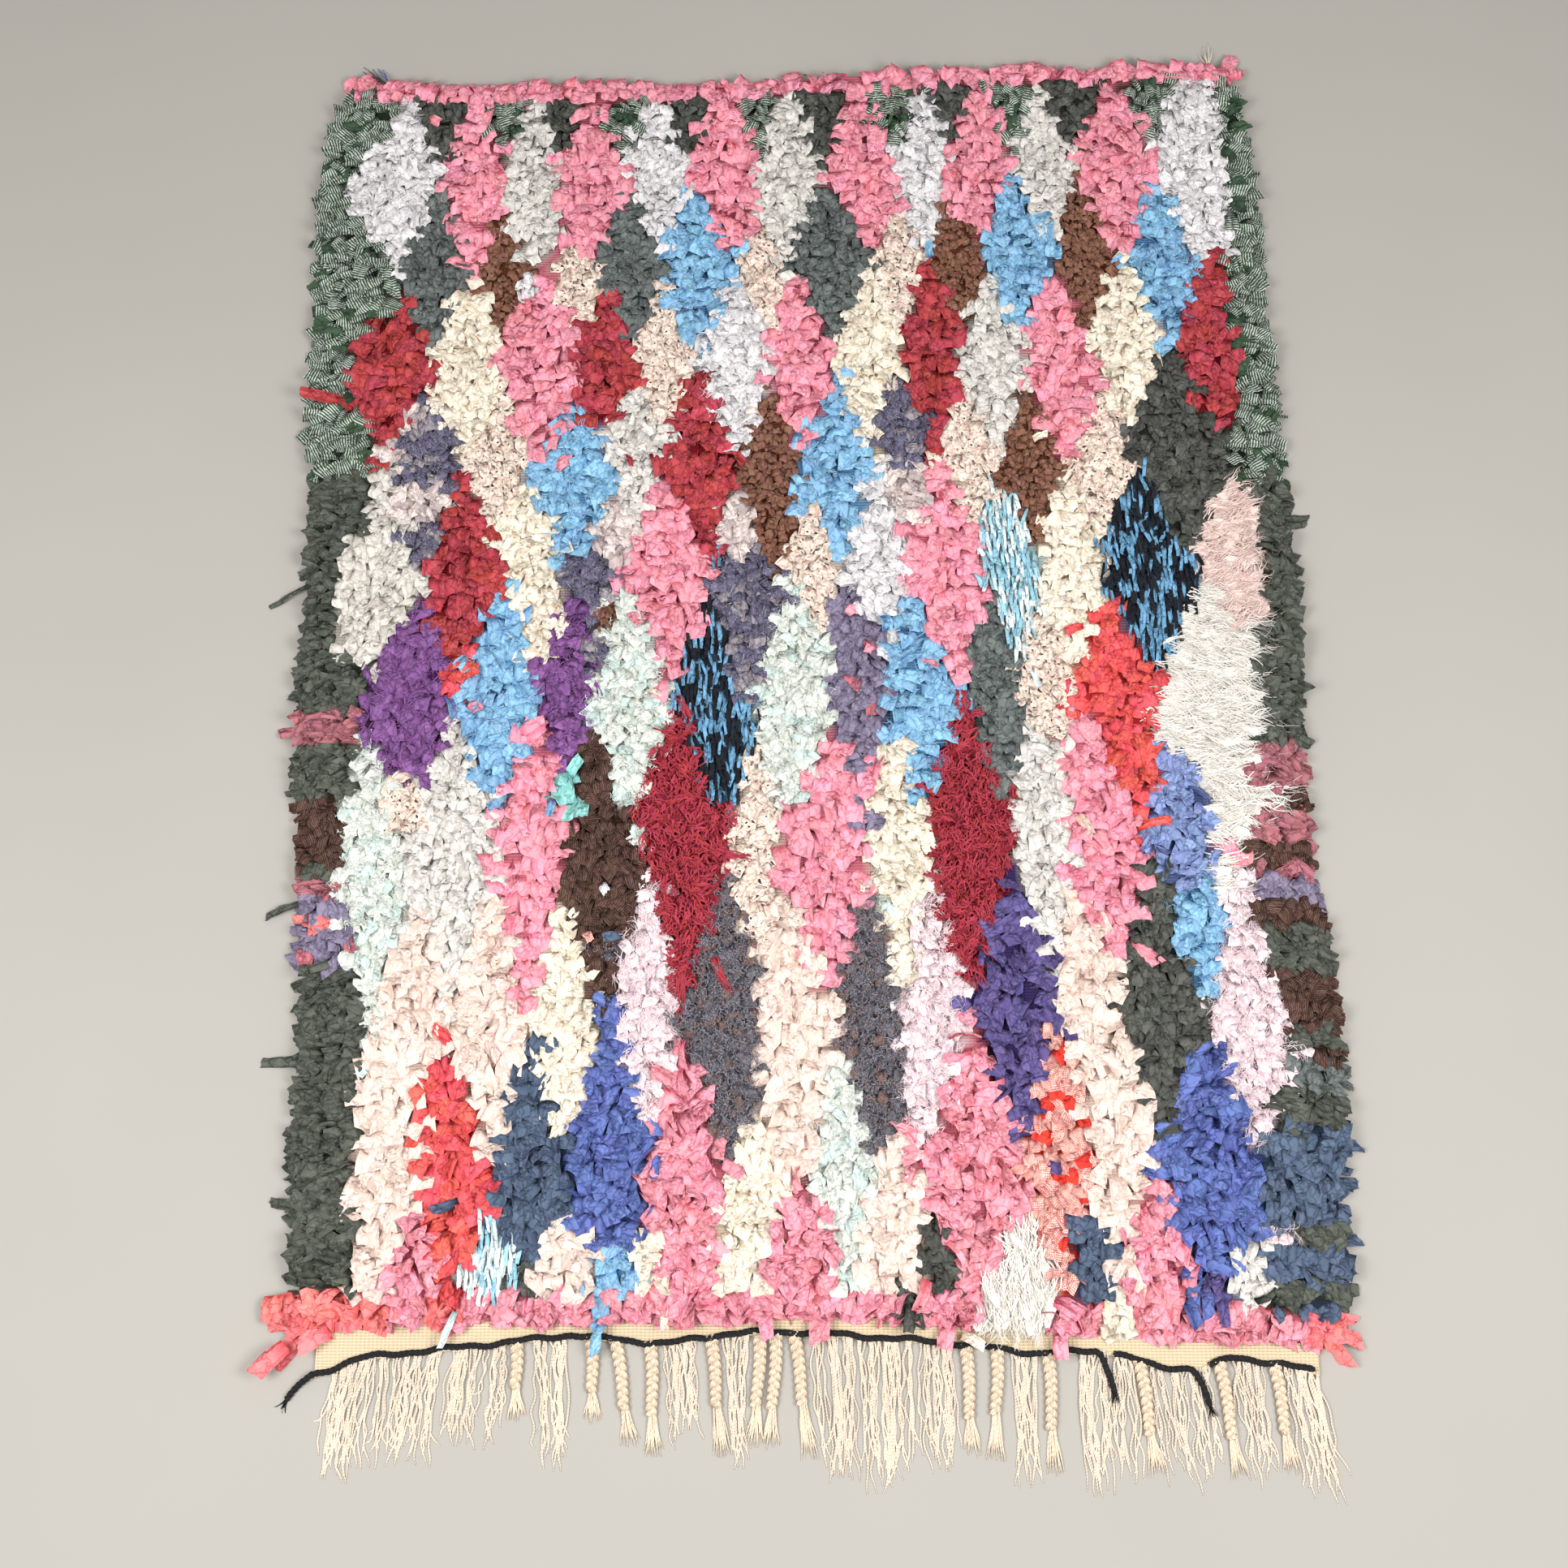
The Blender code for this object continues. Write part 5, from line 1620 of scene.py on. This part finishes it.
@dataclass
class EndBand:
    """The flat-woven ecru strip between the pile and the cord, its places in centimetres and its heights in metres."""

    outline: RugOutline
    left: float = -52.0
    right: float = 54.0
    part: float = 0.1
    lip: float = 0.25
    top: float = 4 * MM
    bottom: float = 0.6 * MM
    step: float = 0.25
    rows: int = 14
    tint: Tone = (248, 228, 190)
    under: Tone = (196, 178, 150)
    seed: int = 9

    def near_edge(self, x: np.ndarray) -> np.ndarray:
        """The band's near edge, under the cord, in centimetres."""
        return cord_at(x) - self.lip

    def build(self) -> bpy.types.Object:
        """Makes the band as a closed strip with its weft rows in relief."""
        rng = np.random.default_rng(self.seed)
        u = np.arange(self.left, self.right + 0.01, self.step)
        v = np.linspace(0, 1, self.rows + 1)
        x = np.broadcast_to(u[None, :], (len(v), len(u)))
        far = self.outline.near_at(u) - self.part
        near = self.near_edge(u)
        y = near[None, :] + (far - near)[None, :] * v[:, None]
        bricks = 0.35 * MM * (np.indices(x.shape).sum(axis=0) % 2)
        z = self.top + bricks + rng.uniform(-0.2, 0.2, x.shape) * MM
        tint = np.broadcast_to(np.array(linear(self.tint)), (*x.shape, 3))
        top = np.stack([x * CM, y * CM, z], axis=-1)
        low = np.stack([x * CM, y * CM, np.full(x.shape, self.bottom)], axis=-1)
        piece = slab("end_band", top, low, tint, linear(self.under))
        piece.data.materials.append(self.material())
        return dress(piece, "fringe_band")

    def material(self) -> bpy.types.Material:
        """Makes the band's plain weave: weft rows that pass over and under the warp."""
        kit = NodeKit("band_weave")
        warp = kit.wave(kit.spot(), "X", 72, 1.0)
        weft = kit.wave(kit.spot(), "Y", 96, 1.0)
        weave = kit.math("MAXIMUM", kit.math("MULTIPLY", warp, weft), kit.scaled(weft, 0.4))
        return kit.woven(weave, 0.8, 1.6 * MM)


@dataclass
class LooseWarp:
    """The warp yarns that hang loose from the band."""

    band: EndBand
    radius: float = 0.95 * MM
    per_strand: float = 3.5
    clump: float = 1.3
    steps: int = 22
    seed: int = 57

    def paths(self, group: FringeGroup, rng: np.random.Generator) -> np.ndarray:
        """Routes of one group's yarns, from under the cord down to the floor and along it.

        Args:
            group: Where the yarns leave the band and where they end.
            rng: The source of chance.

        Returns:
            Points in metres, as yarns by points by 3.
        """
        count = round(group.strands * self.per_strand)
        yarns = Chances(rng, count)
        s = np.linspace(0, 1, self.steps)[None, :]
        root = np.sort(rng.uniform(group.root_from, group.root_to, count))[:, None]
        widths = (group.tip_to - group.tip_from, group.root_to - group.root_from)
        tip = group.tip_from + (root - group.root_from) * widths[0] / widths[1]
        tip = tip + yarns.about(0.45)
        short = yarns.some(0.18)
        tip_y = group.tip_y + yarns.between(-0.9, 2.4) + short * yarns.between(1, 4)
        root_y = self.band.near_edge(root) + 0.35
        middle = (group.root_from + group.root_to) / 2
        clump = middle + np.round((root - middle) / self.clump) * self.clump * rng.uniform(0.7, 1.1)
        pull = rng.uniform(0.35, 0.85)
        gather = (clump - root) * pull * np.sin(np.pi * np.clip(s * rng.uniform(0.75, 1.0), 0, 1)) ** 1.5
        bow = yarns.about(0.42) * np.sin(np.pi * s)
        bow = bow + yarns.about(0.2) * s * np.sin(s * yarns.between(4, 10) + yarns.between(0, 6.3))
        wave = yarns.between(0.05, 0.24) * np.sin(s * yarns.between(9, 26) + yarns.between(0, 6.3))
        curl = 0.5 * yarns.about(1) * np.clip(s - 0.72, 0, None) * 3
        x = root + (tip - root) * s + gather + bow + wave * (s > 0.08) + curl
        hook = yarns.some(0.22) * yarns.between(4, 9) * np.clip(s - 0.82, 0, None)
        y = root_y + (tip_y - root_y) * s + 0.12 * np.sin(s * yarns.between(6, 18)) + hook
        layer = yarns.between(0, 2.6) * np.sin(np.pi * np.clip(s * 1.1, 0, 1)) ** 0.5
        z = np.maximum(5.2 - 52 * s, 0) + self.radius / MM + layer * (1 - 0.6 * s)
        return np.stack([x * CM, y * CM, z * MM], axis=-1)

    def build(self) -> bpy.types.Object:
        """Makes every loose yarn."""
        rng = np.random.default_rng(self.seed)
        mesh = StripMesh()
        maker = YarnMaker(rng, sides=4)
        taper = np.clip((1.02 - np.linspace(0, 1, self.steps)) / 0.1, 0.3, 1)
        for group in FRINGE:
            if not group.braided:
                paths = self.paths(group, rng)
                radius = self.radius * rng.uniform(0.85, 1.15, (len(paths), 1)) * taper
                # Painted shade: yarns that lie lower are darker.
                height = paths[..., 2].max(axis=1, keepdims=True) / MM
                maker.spin(mesh, paths, radius, np.clip(0.3 + 0.12 * height, 0.4, 1))
        material = YarnNodes((243, 229, 210), (150, 126, 102)).build("warp_yarn")
        return dress(mesh.build("loose_warp", material, 70), "fringe_band")


@dataclass
class Plaits:
    """The warp ends plaited in three, each with a short open end."""

    band: EndBand
    share: float = 0.62
    swing: float = 4.2 * MM
    rise: float = 2.1 * MM
    strand: float = 1.4 * MM
    gap: float = 2.05 * MM
    pitch: float = 25 * MM
    middle: float = 3.9 * MM
    step_up: float = 3.4 * MM
    bow: float = 1.6 * MM
    taper: float = 0.22
    end_yarns: int = 18
    seed: int = 61

    def plait(self, mesh: StripMesh, maker: YarnMaker, start: np.ndarray, end: np.ndarray) -> None:
        """Lays one plait's three strands between two places in metres."""
        long = float(np.linalg.norm(end - start))
        s = np.linspace(0, 1, max(24, round(long / (2 * MM))))
        bow = self.bow * np.sin(np.pi * s * 1.3)
        for strand in range(3):
            turn = math.tau * (s * long / self.pitch + strand / 3)
            narrow = 1 - self.taper * s
            x = start[0] + (end[0] - start[0]) * s + bow + self.swing * narrow * np.sin(turn)
            y = start[1] + (end[1] - start[1]) * s
            z = self.middle + self.rise * np.sin(2 * turn) + self.step_up * np.clip(1 - s * 9, 0, 1)
            middle = np.stack([x, y, z], axis=-1)
            aside = np.cross(np.gradient(middle, axis=0), [0.0, 0.0, 1.0])
            aside /= np.linalg.norm(aside, axis=1, keepdims=True)
            for place in (-1, 0, 1):
                yarn = middle + aside * (place * self.gap * narrow)[:, None]
                yarn[:, 2] += (0.5 - abs(place)) * 0.6 * MM
                light = np.clip(0.62 + 0.4 * np.sin(2 * turn) - 0.2 * abs(place), 0.1, 1)
                maker.spin(mesh, yarn[None], np.full((1, len(s)), self.strand), light[None])

    def open_end(self, mesh: StripMesh, maker: YarnMaker, start: np.ndarray, end: np.ndarray) -> None:
        """Spreads one plait's yarn ends between two places in metres."""
        yarns = Chances(maker.rng, self.end_yarns)
        s = np.linspace(0, 1, 10)[None, :]
        spread = np.linspace(-1, 1, self.end_yarns)[:, None] * (2.8 + 7.2 * s**1.3) * MM
        x = start[0] + (end[0] - start[0]) * s + spread + yarns.about(0.5) * MM
        x = x + yarns.between(0.2, 0.8) * MM * np.sin(s * 7 + yarns.between(0, 6))
        y = start[1] + (end[1] - start[1]) * s * yarns.between(0.75, 1.08)
        z = (1.0 + yarns.between(0, 3.4) * (1 - 0.8 * s)) * MM
        radius = 0.85 * MM * np.clip((1.04 - s) / 0.4, 0.25, 1) * np.ones((self.end_yarns, 1))
        maker.spin(mesh, np.stack([x, y + 0 * x, z + 0 * x], axis=-1), radius)

    def build(self) -> bpy.types.Object:
        """Makes every plait."""
        rng = np.random.default_rng(self.seed)
        mesh = StripMesh()
        maker = YarnMaker(rng)
        for group in FRINGE:
            if group.braided:
                root = (group.root_from + group.root_to) / 2
                start = np.array([root, float(self.band.near_edge(np.array(root))) + 0.3]) * CM
                stop = np.array([(group.tip_from + group.tip_to) / 2, group.tip_y]) * CM
                knot = start + (stop - start) * (self.share + rng.uniform(-0.06, 0.06))
                self.plait(mesh, maker, start, knot)
                self.open_end(mesh, maker, knot + (stop - start) * -0.03, stop)
        material = YarnNodes((243, 226, 202), (152, 124, 94), 2).build("plait_yarn")
        return dress(mesh.build("plaits", material, 70), "fringe_band")


@dataclass
class TwinedCord:
    """One length of the black cord: two plies wound round each other."""

    name: str
    route: np.ndarray
    ply: float = 2.5 * MM
    offset: float = 1.25 * MM
    pitch: float = 12 * MM
    sway: tuple[tuple[float, float], ...] = ((1.5 * MM, 13 * MM), (0.8 * MM, 5.3 * MM))
    fibres: int = 24
    seed: int = 71

    def build(self, frayed: list[int]) -> bpy.types.Object:
        """Makes the two plies and frays the named ends.

        Args:
            frayed: 0 for the first end, -1 for the last.

        Returns:
            The cord's piece.
        """
        rng = np.random.default_rng(self.seed)
        run = np.concatenate([[0], np.cumsum(np.linalg.norm(np.diff(self.route, axis=0), axis=1))])
        at = np.linspace(0, run[-1], max(12, round(run[-1] / (2 * MM))))
        path = np.column_stack([np.interp(at, run, self.route[:, axis]) for axis in range(3)])
        path[:, 1] += sum(swing * np.sin(at / length) for swing, length in self.sway)
        ahead = np.gradient(path, axis=0)
        across = np.cross(ahead, [0, 0, 1])
        across /= np.linalg.norm(across, axis=1, keepdims=True)
        mesh = StripMesh()
        maker = YarnMaker(rng, sides=7)
        for half in (0, math.pi):
            turn = (math.tau * at / self.pitch + half)[:, None]
            ply = path + self.offset * (np.cos(turn) * across + np.sin(turn) * np.array([0, 0, 1.0]))
            maker.spin(mesh, ply[None], np.full((1, len(ply)), self.ply))
        for end in frayed:
            self.fray(mesh, path[end], path[end] - path[1 if end == 0 else -2], rng)
        material = YarnNodes((44, 43, 45), (9, 9, 10), 2.2, 0.0).build(self.name + "_yarn")
        return dress(mesh.build(self.name + "_dressed", material, 70), self.name)

    def fray(self, mesh: StripMesh, spot: np.ndarray, ahead: np.ndarray, rng: np.random.Generator) -> None:
        """Opens the cord's end into loose fibres."""
        ahead = ahead / np.linalg.norm(ahead)
        across = np.array([-ahead[1], ahead[0], 0])
        s = np.linspace(0, 1, 8)[None, :, None]
        long = rng.uniform(9, 17, (self.fibres, 1, 1)) * MM
        fan = rng.uniform(-0.45, 0.45, (self.fibres, 1, 1))
        path = spot - ahead * 3 * MM + long * s * (ahead + fan * s * across)
        path = path + rng.normal(0, 0.9, (self.fibres, 1, 3)) * MM
        path[..., 2] = np.maximum(path[..., 2] - 2 * MM * s[..., 0], 0.7 * MM)
        radius = 0.7 * MM * np.clip(1.1 - s[..., 0], 0.3, 1) * np.ones((self.fibres, 1))
        YarnMaker(rng, sides=4).spin(mesh, path, radius)


@dataclass
class CornerYarns:
    """The yarn ends that stick out at the far edge and its corners."""

    seed: int = 83
    steps: int = 14

    def build(self) -> list[bpy.types.Object]:
        """Makes each sprig as a few yarns of its own colour."""
        rng = np.random.default_rng(self.seed)
        pieces = []
        for sprig in SPRIGS:
            mesh, yarns = StripMesh(), Chances(rng, sprig.yarns)
            s = np.linspace(0, 1, self.steps)[None, :]
            long = sprig.length * yarns.between(0.65, 1)
            way = np.radians(sprig.way + yarns.about(sprig.fan))
            bend = yarns.about(0.35) * s**2
            x = sprig.x + long * s * np.cos(way) - bend * np.sin(way) + 0.05 * np.sin(9 * s + 6 * way)
            y = sprig.y + long * s * np.sin(way) + bend * np.cos(way)
            z = np.maximum(sprig.height * (1 - s) + 1.0, 0.9) + yarns.between(0, 1.2) * (1 - s)
            radius = sprig.radius * MM * np.clip(1.15 - s, 0.35, 1) * np.ones((sprig.yarns, 1))
            YarnMaker(rng).spin(mesh, np.stack([x * CM, y * CM, z * MM], axis=-1), radius)
            material = YarnNodes(sprig.lit, sprig.shade_tone, 2.5).build(sprig.name + "_yarn")
            pieces.append(dress(mesh.build(sprig.name, material, 70), "pile_cloth"))
        return pieces


@dataclass
class Studio:
    """The pale floor, the soft light and the camera."""

    tilt: float = 19.19
    height: float = 2.486
    camera_x: float = -0.025
    camera_y: float = -0.955
    lens: float = 35
    sensor: float = 24
    lamp: Colour = (1.3, -0.95, 2.1)
    lamp_size: float = 1.1
    lamp_power: float = 44
    sky: float = 0.53
    floor: Tone = (178, 174, 167)

    def build(self) -> None:
        """Makes the floor, the lights and the camera."""
        bpy.context.scene.view_settings.view_transform = "Standard"
        self.lay_floor()
        for name, side in (("left_lamp", -1), ("right_lamp", 1)):
            self.light(name, (self.lamp[0] * side, *self.lamp[1:]))
        world = bpy.data.worlds.new("studio")
        world.use_nodes = True
        background = world.node_tree.nodes["Background"]
        background.inputs[0].default_value = (1, 0.99, 0.975, 1)
        background.inputs[1].default_value = self.sky
        bpy.context.scene.world = world
        data = bpy.data.cameras.new("camera")
        data.lens = self.lens
        data.sensor_width = self.sensor
        data.sensor_fit = "HORIZONTAL"
        camera = bpy.data.objects.new("camera", data)
        camera.location = (self.camera_x, self.camera_y, self.height)
        camera.rotation_euler = (math.radians(self.tilt), 0, 0)
        bpy.context.scene.collection.objects.link(camera)
        bpy.context.scene.camera = camera

    def light(self, name: str, place: Colour) -> None:
        """Hangs a square soft light that faces the rug's middle."""
        data = bpy.data.lights.new(name, "AREA")
        data.size = self.lamp_size
        data.energy = self.lamp_power
        lamp = bpy.data.objects.new(name, data)
        lamp.location = place
        lamp.rotation_euler = (-Vector(place)).to_track_quat("-Z", "Y").to_euler()
        bpy.context.scene.collection.objects.link(lamp)

    def lay_floor(self) -> None:
        """Lays the pale floor under the rug."""
        bpy.ops.mesh.primitive_plane_add(size=14, location=(0, 0, 0))
        floor = bpy.context.object
        floor.name = "floor"
        kit = NodeKit("painted_floor")
        worn = kit.noise(kit.spot(), 3, 4)
        colour = kit.blend(worn, self.floor, tuple(value - 6 for value in self.floor))
        floor.data.materials.append(kit.finish(colour, kit.scaled(worn, 0.1, 0.6), kit.bump(worn, 0.05, MM)))


def cord_route(start: float, stop: float, before: tuple, after: tuple, height: float = 6.8) -> np.ndarray:
    """Lays a cord's route along the band's near edge, with its free ends.

    Args:
        start: Where it starts along the band, in centimetres.
        stop: Where it stops.
        before: Points of the free end before it, in centimetres and, for the height, millimetres.
        after: Points of the free end after it.
        height: How high it lies along the band, in millimetres.

    Returns:
        The route's points, in metres.
    """
    x = np.linspace(start, stop, max(3, round(stop - start)))
    run = np.column_stack([x, cord_at(x), np.full(len(x), height)])
    parts = [np.array(rows).reshape(-1, 3) for rows in (before, run, after) if len(rows)]
    return np.concatenate(parts) * (CM, CM, MM)


def main() -> None:
    """Builds the dressed rug."""
    logging.basicConfig(level=logging.INFO, format="%(message)s")
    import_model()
    Studio().build()
    outline = RugOutline()
    chart = LozengeChart(outline)
    pile = RagPile(outline, chart)
    RimEnds(outline, pile).build()
    pieces = pile.build()
    pieces += CornerYarns().build()
    band = EndBand(outline)
    pieces.append(band.build())
    pieces.append(LooseWarp(band).build())
    pieces.append(Plaits(band).build())
    TwinedCord("twined_cord_left", cord_route(-51.2, 30.4, LEFT_TAIL, MIDDLE_TAIL)).build([0, -1])
    TwinedCord("twined_cord_middle", cord_route(32.4, 40.4, (), RIGHT_TAIL)).build([-1])
    TwinedCord("twined_cord_right", cord_route(42.4, 53.4, (), ())).build([])
    ground = GroundCloth(outline, chart).build()


if __name__ == "__main__":
    main()
